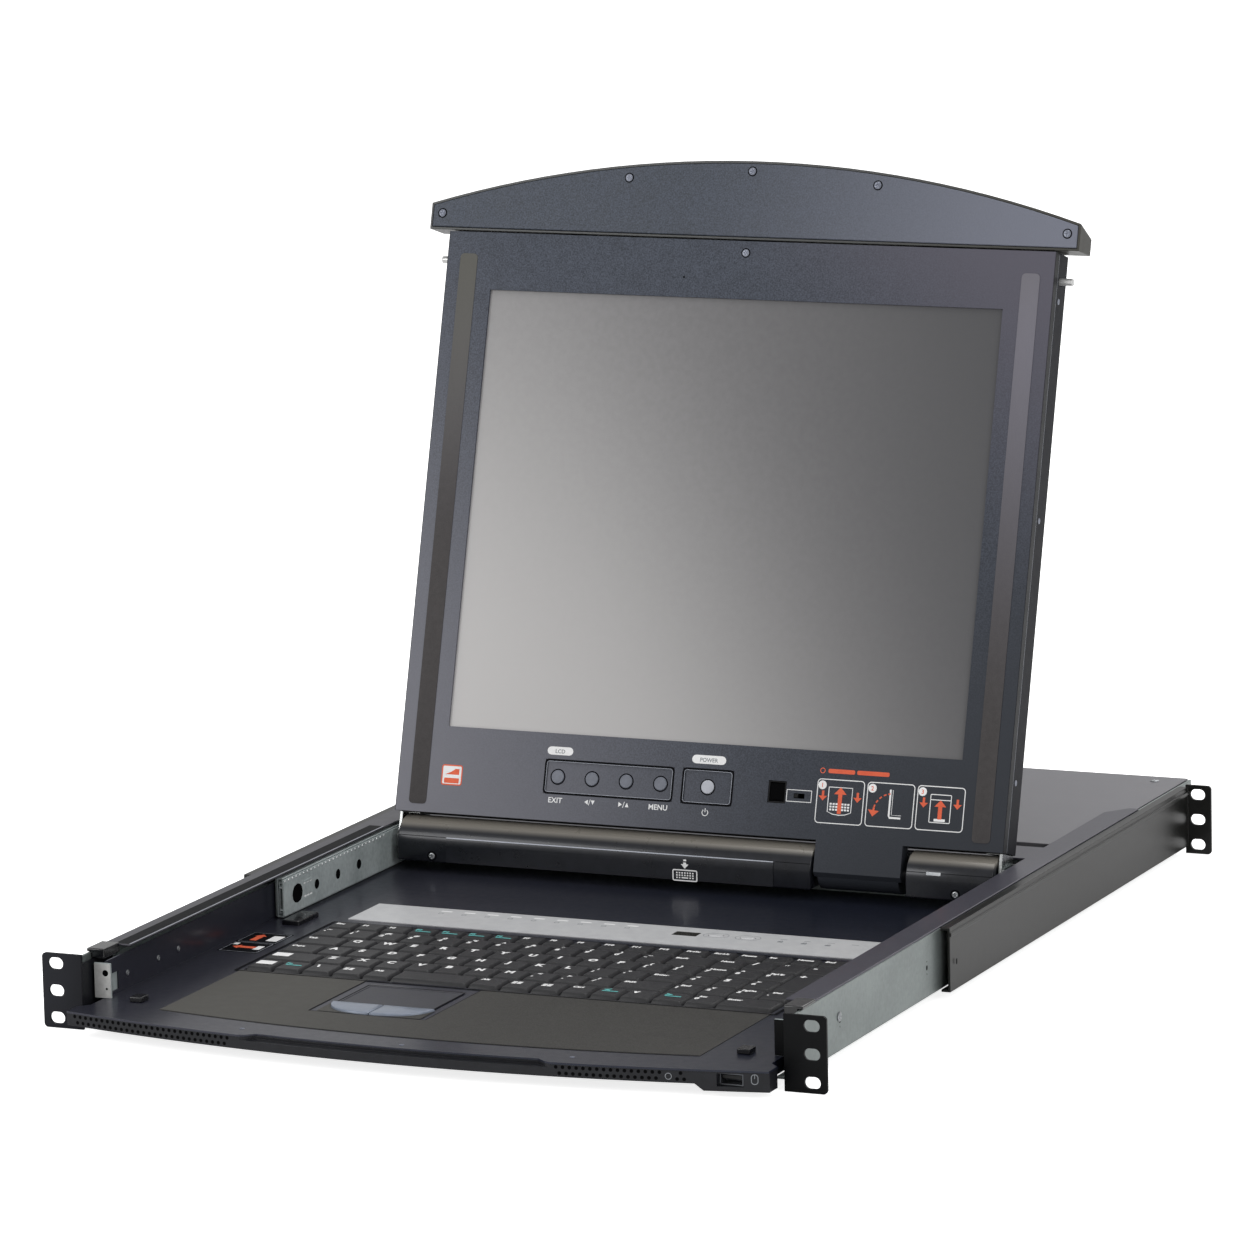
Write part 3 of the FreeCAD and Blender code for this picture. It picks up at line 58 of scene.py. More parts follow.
def linear(code):                                   # "#rrggbb" as the linear colour that a shader wants
    values = [int(code[i:i + 2], 16) / 255 for i in (1, 3, 5)]
    return tuple(v / 12.92 if v <= 0.04045 else ((v + 0.055) / 1.055) ** 2.4 for v in values) + (1.0,)


# ---- camera, light and floor

cameraView = {
    "place": (1.6494, -3.3913, 0.9261),             # metres, in the rack frame
    "turn": (79.396, 1.312, 23.908),                # degrees about X, Y and Z
    "lens": 200.14,                                 # millimetres on a 36 mm sensor
}
studio = {
    "worldLight": 0.56,
    "floorColor": "#ffffff",
    "floorHeight": -0.0219, "floorReach": 9.0,
    "floorGlow": 0.8,
    "lamps": (                                      # name, place, aim, size, power
        ("keyLamp", (-1.9, -2.0, 1.5), (0.0, 0.3, 0.15), 1.3, 24),
        ("topLamp", (0.3, 0.3, 2.9), (0.0, 0.2, 0.0), 1.8, 22),
        ("sideLamp", (2.6, -0.9, 1.0), (0.1, 0.2, 0.0), 1.4, 14),
        ("backLamp", (0.4, 2.6, 2.0), (0.0, 0.3, 0.1), 2.0, 22),
    ),
}


def buildCamera(view):
    data = bpy.data.cameras.new("camera")
    data.lens = view["lens"]
    data.sensor_width = 36
    data.clip_end = 50
    camera = bpy.data.objects.new("camera", data)
    camera.location = view["place"]
    camera.rotation_euler = [math.radians(angle) for angle in view["turn"]]
    bpy.context.collection.objects.link(camera)
    bpy.context.scene.camera = camera


def shaderNode(tree, kind, **values):               # adds a node and sets its unlinked sockets and settings
    node = tree.nodes.new(kind)
    for key, value in values.items():
        if hasattr(node, key):
            setattr(node, key, value)
        else:
            node.inputs[key.replace("_", " ")].default_value = value
    return node


def buildStudio(look):
    world = bpy.data.worlds.new("studio")
    world.use_nodes = True
    tree = world.node_tree
    tree.nodes.clear()
    rays = tree.nodes.new("ShaderNodeLightPath")
    seen = shaderNode(tree, "ShaderNodeMath", operation="MAXIMUM")
    tree.links.new(rays.outputs["Is Camera Ray"], seen.inputs[0])
    tree.links.new(rays.outputs["Is Transmission Ray"], seen.inputs[1])
    strength = shaderNode(tree, "ShaderNodeMapRange")
    strength.inputs["To Min"].default_value = look["worldLight"]
    strength.inputs["To Max"].default_value = 1.0
    tree.links.new(seen.outputs[0], strength.inputs["Value"])
    background = shaderNode(tree, "ShaderNodeBackground")
    background.inputs["Color"].default_value = (1, 1, 1, 1)
    tree.links.new(strength.outputs["Result"], background.inputs["Strength"])
    output = tree.nodes.new("ShaderNodeOutputWorld")
    tree.links.new(background.outputs[0], output.inputs["Surface"])
    bpy.context.scene.world = world
    for name, place, aim, size, power in look["lamps"]:
        lamp = bpy.data.lights.new(name, "AREA")
        lamp.size = size
        lamp.energy = power
        item = bpy.data.objects.new(name, lamp)
        item.location = place
        item.rotation_euler = (Vector(aim) - Vector(place)).to_track_quat("-Z", "Y").to_euler()
        bpy.context.collection.objects.link(item)
    mesh = bpy.data.meshes.new("floor")
    reach, height = look["floorReach"], look["floorHeight"]
    corners = [(-reach, -reach, height), (reach, -reach, height), (reach, reach, height),
               (-reach, reach, height)]
    mesh.from_pydata(corners, [], [(0, 1, 2, 3)])
    floor = bpy.data.objects.new("floor", mesh)
    bpy.context.collection.objects.link(floor)
    material = bpy.data.materials.new("paleFloor")
    material.use_nodes = True
    tree = material.node_tree
    tree.nodes.clear()
    rays = tree.nodes.new("ShaderNodeLightPath")
    diffuse = shaderNode(tree, "ShaderNodeBsdfDiffuse")
    diffuse.inputs["Color"].default_value = linear(look["floorColor"])
    glow = shaderNode(tree, "ShaderNodeEmission")
    glow.inputs["Strength"].default_value = look["floorGlow"]
    added = tree.nodes.new("ShaderNodeAddShader")
    mix = tree.nodes.new("ShaderNodeMixShader")
    tree.links.new(rays.outputs["Is Camera Ray"], mix.inputs[0])
    tree.links.new(diffuse.outputs[0], mix.inputs[1])
    tree.links.new(diffuse.outputs[0], added.inputs[0])
    tree.links.new(glow.outputs[0], added.inputs[1])
    tree.links.new(added.outputs[0], mix.inputs[2])
    output = tree.nodes.new("ShaderNodeOutputMaterial")
    tree.links.new(mix.outputs[0], output.inputs["Surface"])
    mesh.materials.append(material)


buildCamera(cameraView)
buildStudio(studio)
bpy.context.scene.view_settings.view_transform = "Standard"
print("camera, lamps and floor ready")


# ---- finishes: each reads Object coordinates and mixes two tones, a fine grain and an uneven gloss; some also mix in painted light

finishes = {
    # base, second tone, roughness low and high, metallic, grain per metre, bump, coat, specks
    "rail":            ("#8d9493", "#7b8281", 0.30, 0.44, 0.70, 420, 0.03, 0.0, 0.10),
    "frame_paint":     ("#4b4a54", "#403f49", 0.34, 0.46, 0.30, 1500, 0.08, 0.1, 0.30),
    "cover_sheet":     ("#7d7c80", "#737277", 0.40, 0.52, 0.20, 1500, 0.08, 0.0, 0.30),
    "ear_paint":       ("#0b0c0e", "#070809", 0.34, 0.44, 0.0, 1400, 0.06, 0.0, 0.10),
    "cap_plastic":     ("#131418", "#08090b", 0.14, 0.24, 0.0, 260, 0.01, 0.5, 0.10),
    "slide_zinc":      ("#cdd6d6", "#a8b2b2", 0.28, 0.44, 0.30, 380, 0.03, 0.0, 0.14),
    "screw_steel":     ("#b4b6b8", "#94979a", 0.22, 0.36, 0.95, 900, 0.02, 0.0, 0.05),
    "blackScrew":      ("#9094a0", "#747885", 0.26, 0.38, 0.6, 900, 0.02, 0.0, 0.05),
    "board":           ("#14492c", "#0f3a23", 0.40, 0.60, 0.0, 900, 0.03, 0.1, 0.20),
    "supply_case":     ("#b1b3b4", "#9fa1a3", 0.34, 0.46, 0.9, 500, 0.02, 0.0, 0.06),
    "inlet_plastic":   ("#151515", "#0f0f10", 0.46, 0.60, 0.0, 1500, 0.05, 0.0, 0.04),
    "connector_shell": ("#a5a6a4", "#8f908e", 0.28, 0.42, 0.9, 700, 0.02, 0.0, 0.05),
    "bracket_paint":   ("#191917", "#141413", 0.28, 0.34, 0.10, 2400, 0.03, 0.0, 0.30),
    "hinge_paint":     ("#1d1f26", "#16181d", 0.24, 0.34, 0.20, 1800, 0.04, 0.2, 0.20),
    # painted highlight colour for the left slide's front face
    "frontSilver":     ("#d9d9d7", "#a8a8a6", 0.24, 0.36, 0.30, 260, 0.01, 0.0, 0.10),
    "beam_steel":      ("#8d9090", "#7a7d7d", 0.36, 0.52, 0.8, 500, 0.03, 0.0, 0.08),
    "shaft_steel":     ("#b4b5b5", "#9b9c9c", 0.22, 0.34, 1.0, 900, 0.01, 0.0, 0.04),
    "bezel_paint":     ("#4b505b", "#30343c", 0.38, 0.48, 0.15, 1150, 0.14, 0.0, 0.75),
    "back_paint":      ("#1b1c22", "#15161b", 0.42, 0.54, 0.0, 2200, 0.08, 0.0, 0.40),
    "screen":          ("#807f80", "#7a797a", 0.46, 0.52, 0.0, 3000, 0.0, 0.0, 0.0),
    "handle_paint":    ("#434955", "#2b3038", 0.36, 0.46, 0.25, 1150, 0.14, 0.0, 0.75),
    "handle_rim":      ("#4a4b4a", "#3d3e3e", 0.36, 0.48, 0.30, 2200, 0.08, 0.1, 0.40),
    "grip_strip":      ("#4a4747", "#3e3b3b", 0.60, 0.76, 0.0, 3400, 0.16, 0.0, 0.50),
    "arm_steel":       ("#c2c4c4", "#a5a7a7", 0.18, 0.32, 1.0, 600, 0.02, 0.0, 0.05),
    "port_plastic":    ("#0e0e10", "#09090a", 0.42, 0.56, 0.0, 1500, 0.04, 0.0, 0.03),
    "button_plastic":  ("#6d717c", "#5e626c", 0.30, 0.42, 0.1, 2200, 0.03, 0.2, 0.10),
    "pin_steel":       ("#dededd", "#c2c2c1", 0.20, 0.32, 0.6, 900, 0.01, 0.0, 0.04),
    "tray_paint":      ("#262a38", "#1d202d", 0.26, 0.38, 0.35, 2400, 0.08, 0.2, 0.50),
    "bar_paint":       ("#1c1d22", "#131418", 0.30, 0.42, 0.15, 2200, 0.06, 0.1, 0.30),
    "film":            ("#43423f", "#2e2d2b", 0.52, 0.66, 0.0, 1500, 0.14, 0.0, 0.75),
    "key_base":        ("#0d0e10", "#08090b", 0.60, 0.75, 0.0, 900, 0.04, 0.0, 0.03),
    "key_plastic":     ("#303032", "#252527", 0.38, 0.50, 0.0, 3000, 0.10, 0.0, 0.30),
    "strip_silver":    ("#d6d7d8", "#cbccce", 0.34, 0.46, 0.15, 1800, 0.03, 0.1, 0.30),
    "touch_surface":   ("#3d3e45", "#333439", 0.40, 0.52, 0.0, 2800, 0.06, 0.0, 0.30),
    "touch_button":    ("#838c9c", "#78818f", 0.26, 0.36, 0.10, 2200, 0.02, 0.2, 0.10),
    "usb_shell":       ("#5d5f63", "#4c4e52", 0.28, 0.42, 0.80, 600, 0.02, 0.0, 0.04),
    "bumper_rubber":   ("#16161a", "#0f0f12", 0.22, 0.34, 0.0, 1500, 0.03, 0.2, 0.04),
    "whiteInk":        ("#fbfbfb", "#f2f2f2", 0.50, 0.62, 0.0, 1500, 0.0, 0.0, 0.02),
    "tealInk":         ("#6cc2bf", "#5aaeac", 0.50, 0.62, 0.0, 1500, 0.02, 0.0, 0.02),
    "orangeInk":       ("#ee6a45", "#df5c39", 0.48, 0.60, 0.0, 1500, 0.02, 0.0, 0.02),
    "greyInk":         ("#8e9296", "#82868a", 0.50, 0.62, 0.0, 1500, 0.02, 0.0, 0.02),
    # pale lines: printed frames, seam lines and painted highlights along edges
    "paleLine":        ("#a7abb4", "#979ba4", 0.34, 0.44, 0.3, 1500, 0.02, 0.0, 0.02),
    # black ink for print, grooves and holes, also the painted shade band on the left flange
    "blackInk":        ("#101115", "#0a0b0e", 0.40, 0.52, 0.0, 1500, 0.02, 0.0, 0.02),
    "darkHole":        ("#060607", "#040405", 0.70, 0.90, 0.0, 1500, 0.02, 0.0, 0.02),
    "borderPaint":     ("#3a3b46", "#2f303a", 0.34, 0.46, 0.25, 2400, 0.06, 0.1, 0.40),
    "powerLens":       ("#bcbfc7", "#adb0b8", 0.24, 0.34, 0.0, 1500, 0.02, 0.3, 0.05),
    "darkWindow":      ("#15150f", "#0d0d09", 0.08, 0.16, 0.0, 900, 0.01, 0.6, 0.0),
    "ballSteel":       ("#f4f5f5", "#dcdede", 0.10, 0.20, 0.3, 900, 0.0, 0.0, 0.02),
}
paintedLight = {                                          # painted light, slow gradients of painted highlight, reflection and shade: full at, gone at (x, z), tone
    # painted reflection: the screen lighter towards its lower left and darker towards its upper right
    "screen": (((-0.19, 0.06), (0.02, 0.34), "#c8c6c5"), ((0.21, 0.30), (-0.10, 0.20), "#525254")),
    # painted reflection and shade: the bezel lighter towards its lower left, darker towards its lower right, a mid
    # tone at its upper right. Its sides are darker.
    "bezel_paint": (((-0.23, 0.01), (0.00, 0.20), "#77777e"), ((0.12, -0.02), (-0.02, 0.12), "#32353b"),
                    ((0.24, 0.34), (0.13, 0.22), "#57555f"), ((0.2000, 0.1), (0.1993, 0.1), "#16171b"),
                    ((-0.2000, 0.1), (-0.1993, 0.1), "#16171b")),
    # painted highlight: the handle lighter towards its right; painted shade: its rim darker towards the right
    "handle_paint": (((0.24, 0.39), (-0.06, 0.40), "#6f727e"),),
    "handle_rim": (((0.23, 0.40), (0.05, 0.40), "#3a3934"),),
    # painted highlight: the grip strips lighter towards their upper ends
    "grip_strip": (((0.22, 0.36), (0.16, 0.10), "#73717a"), ((-0.22, 0.36), (-0.17, 0.20), "#5a5954")),
    # painted light: the tray, film and left ear lighter towards the left; the frame a greyer tone towards the left
    "tray_paint": (((-0.22, 0.00), (0.10, 0.00), "#31323d"),),
    "film": (((-0.16, 0.0), (0.05, 0.0), "#4c4b47"),),
    "frame_paint": (((-0.24, 0.0), (-0.14, 0.0), "#48484e"),),
    "ear_paint": (((-0.235, 0.0), (-0.19, 0.0), "#25262b"),),
    # painted sheen: the hinge bar's top lighter than its front
    "hinge_paint": (((0.0, 0.0250), (0.0, 0.0195), "#9a958c"),),
}
dull = {                                            # reflection, where less than plastic's usual 0.5
    "ear_paint": 0.12, "back_paint": 0.1, "bezel_paint": 0.2, "screen": 0.15, "film": 0.3,
    "key_plastic": 0.35, "darkHole": 0.05, "blackInk": 0.04, "key_base": 0.1, "bar_paint": 0.3,
    "port_plastic": 0.2, "grip_strip": 0.3, "whiteInk": 0.2,
}


def towards(tree, where, start, end):               # one at start, none at end, in the XZ plane
    step = np.array(end) - np.array(start)
    reach = float(step @ step)
    along = shaderNode(tree, "ShaderNodeVectorMath", operation="DOT_PRODUCT")
    along.inputs[1].default_value = (step[0] / reach, 0.0, step[1] / reach)
    tree.links.new(where.outputs["Object"], along.inputs[0])
    fall = shaderNode(tree, "ShaderNodeMapRange", interpolation_type="SMOOTHSTEP")
    first = float(np.dot(start, step)) / reach
    fall.inputs["From Min"].default_value = first
    fall.inputs["From Max"].default_value = first + 1.0
    fall.inputs["To Min"].default_value = 1.0
    fall.inputs["To Max"].default_value = 0.0
    tree.links.new(along.outputs["Value"], fall.inputs["Value"])
    return fall.outputs["Result"]


def buildFinish(name):
    base, tone, smooth, rough, metal, grain, depth, coat, specks = finishes[name]
    material = bpy.data.materials.new(name)
    material.use_nodes = True
    tree = material.node_tree
    shader = tree.nodes["Principled BSDF"]
    shader.inputs["Metallic"].default_value = metal
    shader.inputs["Coat Weight"].default_value = coat
    shader.inputs["Coat Roughness"].default_value = 0.12
    shader.inputs["Specular IOR Level"].default_value = dull.get(name, 0.4)
    where = tree.nodes.new("ShaderNodeTexCoord")
    cloud = shaderNode(tree, "ShaderNodeTexNoise", Scale=grain / 12, Detail=3.0)
    fine = shaderNode(tree, "ShaderNodeTexNoise", Scale=float(grain), Detail=2.0)
    for texture in (cloud, fine):
        tree.links.new(where.outputs["Object"], texture.inputs["Vector"])
    both = shaderNode(tree, "ShaderNodeMix", data_type="FLOAT")
    both.inputs[0].default_value = 0.25 + specks * 0.75  # share of the fine specks over the slow cloud
    tree.links.new(cloud.outputs["Fac"], both.inputs[2])
    tree.links.new(fine.outputs["Fac"], both.inputs[3])
    ramp = tree.nodes.new("ShaderNodeValToRGB")
    ramp.color_ramp.elements[0].position = 0.36
    ramp.color_ramp.elements[0].color = linear(tone)
    ramp.color_ramp.elements[1].position = 0.64
    ramp.color_ramp.elements[1].color = linear(base)
    tree.links.new(both.outputs[0], ramp.inputs["Fac"])
    color = ramp.outputs["Color"]
    # mixes in the painted light gradients
    for start, end, shade in paintedLight.get(name, ()):
        mix = shaderNode(tree, "ShaderNodeMix", data_type="RGBA")
        mix.inputs[7].default_value = linear(shade)
        tree.links.new(towards(tree, where, start, end), mix.inputs[0])
        tree.links.new(color, mix.inputs[6])
        color = mix.outputs[2]
    tree.links.new(color, shader.inputs["Base Color"])
    gloss = shaderNode(tree, "ShaderNodeMapRange")
    gloss.inputs["To Min"].default_value = smooth
    gloss.inputs["To Max"].default_value = rough
    tree.links.new(cloud.outputs["Fac"], gloss.inputs["Value"])
    tree.links.new(gloss.outputs["Result"], shader.inputs["Roughness"])
    if depth:
        bump = shaderNode(tree, "ShaderNodeBump", Strength=min(1.0, depth * 4), Distance=0.0001)
        tree.links.new(fine.outputs["Fac"], bump.inputs["Height"])
        tree.links.new(bump.outputs["Normal"], shader.inputs["Normal"])
    return material


materials = {name: buildFinish(name) for name in finishes}
print("finishes ready:", len(materials))


# ---- sheet-metal and moulded pieces: the CAD shapes with broken edges

edgeRadius = {                                      # millimetres
    "rail": 0.35, "frame_paint": 0.4, "cover_sheet": 0.4, "ear_paint": 0.35, "cap_plastic": 0.7,
    "slide_zinc": 0.25, "bracket_paint": 0.5, "bezel_paint": 0.7, "back_paint": 0.5, "handle_paint": 0.5,
    "handle_rim": 0.9, "tray_paint": 0.5, "bar_paint": 0.7, "strip_silver": 0.15, "button_plastic": 0.4,
    "touch_surface": 0.15, "port_plastic": 0.25, "usb_shell": 0.2, "arm_steel": 0.3,
    "shaft_steel": 0.3, "pin_steel": 0.5, "inlet_plastic": 0.5, "connector_shell": 0.3, "beam_steel": 0.3,
    "bumper_rubber": 0.6, "film": 0.08, "supply_case": 0.5, "board": 0.2,
}
remade = {                                          # nodes that a later section shapes again
    "touchpad_button_left", "touchpad_button_right", "hinge_bar_left", "hinge_bar_right", "function_keys",
    "typing_keys", "bottom_keys", "number_keys", "chassis_screws", "grip_strips",
}
own = {"power_button": "powerLens", "strip_button_left": "strip_silver",
       "strip_button_right": "strip_silver"}        # nodes whose finish isn't their slot's own


def brokenEdges(node):                              # a merged copy of a CAD node with small rounded edges
    slotName = slotOf[node]
    mesh = nodes[node].data.copy()
    mesh.materials.clear()
    mesh.materials.append(materials[own.get(node, slotName)])
    soft = bmesh.new()
    soft.from_mesh(mesh)
    bmesh.ops.remove_doubles(soft, verts=soft.verts, dist=2e-6)
    bmesh.ops.dissolve_limit(soft, angle_limit=math.radians(0.6), verts=soft.verts, edges=soft.edges)
    soft.to_mesh(mesh)
    soft.free()
    item = bpy.data.objects.new(node + "Finished", mesh)
    bpy.context.collection.objects.link(item)
    bevel = item.modifiers.new("edge", "BEVEL")
    bevel.width = edgeRadius[slotName] * mm
    bevel.segments = 2
    bevel.limit_method = "ANGLE"
    bevel.angle_limit = math.radians(40)
    bevel.use_clamp_overlap = True
    flat = item.modifiers.new("flat", "WEIGHTED_NORMAL")  # keeps large faces plain beside rounded edges
    flat.keep_sharp = True
    mesh.polygons.foreach_set("use_smooth", np.ones(len(mesh.polygons), bool))
    mesh.set_sharp_from_angle(angle=math.radians(35))
    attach(item, bodyOf[node])
    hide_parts(node)
    return item


finished = {}
for node in nodes:
    if node in remade:
        continue
    if slotOf[node] in edgeRadius:
        finished[node] = brokenEdges(node)
    else:
        nodes[node].data.materials.clear()
        nodes[node].data.materials.append(materials[own.get(node, slotOf[node])])
print("edges broken on", len(finished), "pieces")


# ---- pieces worked out as arrays, in millimetres

def makePiece(name, points, faces, finish, body, replaced=(), closed=True, angle=35):
    mesh = bpy.data.meshes.new(name)
    mesh.from_pydata((np.asarray(points, float) * mm).tolist(), [], faces)
    weld = bmesh.new()
    weld.from_mesh(mesh)
    bmesh.ops.remove_doubles(weld, verts=weld.verts, dist=1e-6)
    if closed:
        bmesh.ops.recalc_face_normals(weld, faces=weld.faces)
    weld.to_mesh(mesh)
    weld.free()
    mesh.polygons.foreach_set("use_smooth", np.ones(len(mesh.polygons), bool))
    mesh.set_sharp_from_angle(angle=math.radians(angle))
    mesh.materials.append(materials[finish])
    item = bpy.data.objects.new(name, mesh)
    bpy.context.collection.objects.link(item)
    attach(item, body)
    if replaced:
        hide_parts(*replaced)
    return item


def gridFaces(rows, columns, wrap=True, count=1):   # the quads of several equal grids that follow each other
    row = np.arange(rows - 1)[:, None]
    column = np.arange(columns if wrap else columns - 1)[None, :]
    near, far = row * columns + column, row * columns + (column + 1) % columns
    quads = np.stack([near, far, far + columns, near + columns], axis=-1).reshape(1, -1, 4)
    return (quads + np.arange(count)[:, None, None] * rows * columns).reshape(-1, 4).tolist()


def corners(count):                                 # turns and signs of four quarter circles, in order
    turn = np.linspace(0, math.pi / 2, count + 1)[None, :] + np.arange(4)[:, None] * math.pi / 2
    return turn.ravel(), np.repeat([1, -1, -1, 1], count + 1), np.repeat([1, 1, -1, -1], count + 1)


def roundedLoop(halfX, halfY, radius, count=5):     # straight sides joined by quarter circles
    turn, signX, signY = corners(count)
    return np.stack([signX * (halfX - radius) + radius * np.cos(turn),
                     signY * (halfY - radius) + radius * np.sin(turn)], axis=-1)


def cappedBlocks(centres, halves, rings, count=3):
    # stacked rounded loops, each the block's size times a share, less an inset, with a corner radius and a
    # height; a share of nothing closes the stack in a point
    inset, share, radius, height = (np.array(column, float)[None, :, None] for column in zip(*rings))
    turn, signX, signY = corners(count)
    centres, halves = np.array(centres, float), np.array(halves, float)
    x, y = (centres[:, axis, None, None] + sign * (halves[:, axis, None, None] * share - inset - radius)
            + radius * bend(turn) for axis, sign, bend in ((0, signX, np.cos), (1, signY, np.sin)))
    points = np.stack([x, y, height + 0 * x], axis=-1).reshape(-1, 3)
    return points, gridFaces(len(rings), 4 * (count + 1), True, len(centres))


def carriedAlongX(outline, stations):
    # a closed (y, z) outline carried along X: at each station it is drawn in towards its middle by a share
    place, share = (np.array(column, float)[:, None] for column in zip(*stations))
    middle = (outline.max(axis=0) + outline.min(axis=0)) / 2
    y = middle[0] + (outline[None, :, 0] - middle[0]) * share
    z = middle[1] + (outline[None, :, 1] - middle[1]) * share
    points = np.stack([place + 0 * y, y, z], axis=-1).reshape(-1, 3)
    return points, gridFaces(len(stations), len(outline))


def softEnds(low, high, soften, reach):             # stations whose ends draw in on a quarter circle
    turn = np.linspace(0, math.pi / 2, 5)
    first = [(low + soften * (1 - math.cos(t)), 1 - soften * (1 - math.sin(t)) / reach) for t in turn]
    last = [(low + high - x, s) for x, s in reversed(first)]
    return [(low, 0.0)] + first + last + [(high, 0.0)]


def leaned(x, depth, height):                       # a place on the display: depth, height over hinge
    lean = math.radians(display["tilt"])
    x = np.asarray(x, float)
    return np.stack([x, hingeY + depth * math.cos(lean) + height * math.sin(lean) + 0 * x,
                     hingeZ - depth * math.sin(lean) + height * math.cos(lean) + 0 * x], axis=-1)


display = {"tilt": 16.4, "front": -13.05, "half": 200.0, "sink": 0.8}
sideName = {-1: "Left", 1: "Right"}
leanedUp = leaned(0.0, -1.0, 0.0) - leaned(0.0, 0.0, 0.0)   # out of the display's face


# ---- flat marks: words, rings, plates and strokes, laid together on a surface

wordShapes = {}


def wordShape(text, weight):                        # a word's outline as flat triangles, a unit tall
    if (text, weight) not in wordShapes:
        curve = bpy.data.curves.new("word", "FONT")
        curve.body = text
        curve.resolution_u = 3
        curve.offset = weight
        item = bpy.data.objects.new("word", curve)
        bpy.context.collection.objects.link(item)
        mesh = bpy.data.meshes.new_from_object(item)
        points = np.empty(len(mesh.vertices) * 3)
        mesh.vertices.foreach_get("co", points)
        flat = points.reshape(-1, 3)[:, :2].copy()
        wordShapes[text, weight] = (flat, [list(face.vertices) for face in mesh.polygons])
        bpy.data.objects.remove(item)
        bpy.data.curves.remove(curve)
        bpy.data.meshes.remove(mesh)
    return wordShapes[text, weight]


def wordMark(text, x, y, size, align=0.0, weight=0.015):  # align 0 starts at x, 0.5 is centred on it
    points, faces = wordShape(text, weight)
    left, right = points[:, 0].min(), points[:, 0].max()
    return (points - (left + (right - left) * align, 0)) * size + (x, y), faces


def ringMark(x, y, halfX, halfY, radius, width):
    outer, inner = roundedLoop(halfX, halfY, radius), roundedLoop(halfX - width, halfY - width,
                                                                  max(radius - width, 0.02))
    first = np.arange(len(outer))
    second = (first + 1) % len(outer)
    faces = np.stack([first, second, second + len(outer), first + len(outer)], axis=-1).tolist()
    return np.concatenate([outer, inner]) + (x, y), faces


def plateMark(x, y, halfX, halfY, radius=0.05):
    outline = roundedLoop(halfX, halfY, radius, 3)
    return outline + (x, y), [list(range(len(outline)))]


def shapeMark(outline):                             # corners in order, anticlockwise
    return np.array(outline, float), [list(range(len(outline)))]


def strokeMark(path, width):                        # a ribbon of even width along a path of points
    path = np.array(path, float)
    step = np.gradient(path, axis=0)
    side = np.stack([-step[:, 1], step[:, 0]], axis=-1) / np.linalg.norm(step, axis=1)[:, None] * width / 2
    count = np.arange(len(path) - 1)
    faces = np.stack([count, count + 1, count + 1 + len(path), count + len(path)], axis=-1).tolist()
    return np.concatenate([path - side, path + side]), faces


def arrowMark(x, y, turn, long, wide, head):        # a filled arrow, up before its turn in degrees
    neck = long / 2 - head * 0.8
    outline = np.array([(-wide / 2, -long / 2), (wide / 2, -long / 2), (wide / 2, neck), (head * 0.75, neck),
                        (0, long / 2), (-head * 0.75, neck), (-wide / 2, neck)])
    angle = math.radians(turn)
    spin = np.array([(math.cos(angle), math.sin(angle)), (-math.sin(angle), math.cos(angle))])
    return outline @ spin + (x, y), [[0, 1, 2, 6], [2, 3, 4], [2, 4, 6], [6, 4, 5]]


def printMarks(name, marks, lay, finish, body):     # all marks as one thin skin, placed by lay(x, y)
    starts = np.cumsum([0] + [len(points) for points, faces in marks]).tolist()
    flat = np.concatenate([points for points, faces in marks])
    faces = [[index + start for index in face]
             for (points, rows), start in zip(marks, starts) for face in rows]
    return makePiece(name, lay(flat[:, 0], flat[:, 1]), faces, finish, body, closed=False)


def level(height):                                  # a surface that faces up
    return lambda x, y: np.stack([x, y, height + 0 * x], axis=-1)


def displayFace(lift):                              # a surface this far out from the display's front face
    return lambda x, height: leaned(x, display["front"] - lift, height)


def displaySide(side, lift):                        # the display's left or right side, from depth and height
    return lambda depth, height: leaned(side * (display["half"] + lift) + 0 * depth, depth * side, height)


# ---- screws: pan heads with a cross recess

def screwHeads(name, places, radius, height, finish, body, slotName=None, replaced=()):
    # polar grid: the height falls with the fourth power of the distance from the middle, less a cross
    # whose depth fades across its arms and towards their ends; a last ring closes the base
    ring = np.array([0, 0.16, 0.32, 0.46, 0.58, 0.75, 0.92, 1.0, 1.0, 0.0])[:, None] * radius
    turn = np.arange(32)[None, :] * math.pi / 16
    across, along = ring * np.cos(turn), ring * np.sin(turn)
    arm = np.minimum(np.abs(across), np.abs(along))
    ends = np.clip((0.66 * radius - ring) / (0.12 * radius), 0, 1)
    cross = np.clip(1.5 - arm / (0.13 * radius), 0, 1) * ends
    lift = height * (1 - 0.5 * (ring / radius) ** 4 - 0.7 * cross) + 0 * turn
    lift[-2:] = -0.05
    points = []
    for spot, up, side in places:
        up, side = np.array(up, float), np.array(side, float)
        third = np.cross(up, side)
        points.append((np.array(spot, float) + across[..., None] * side + along[..., None] * third
                       + lift[..., None] * up).reshape(-1, 3))
    return makePiece(name, np.concatenate(points), gridFaces(10, 32, True, len(places)), finish, body,
                     replaced)


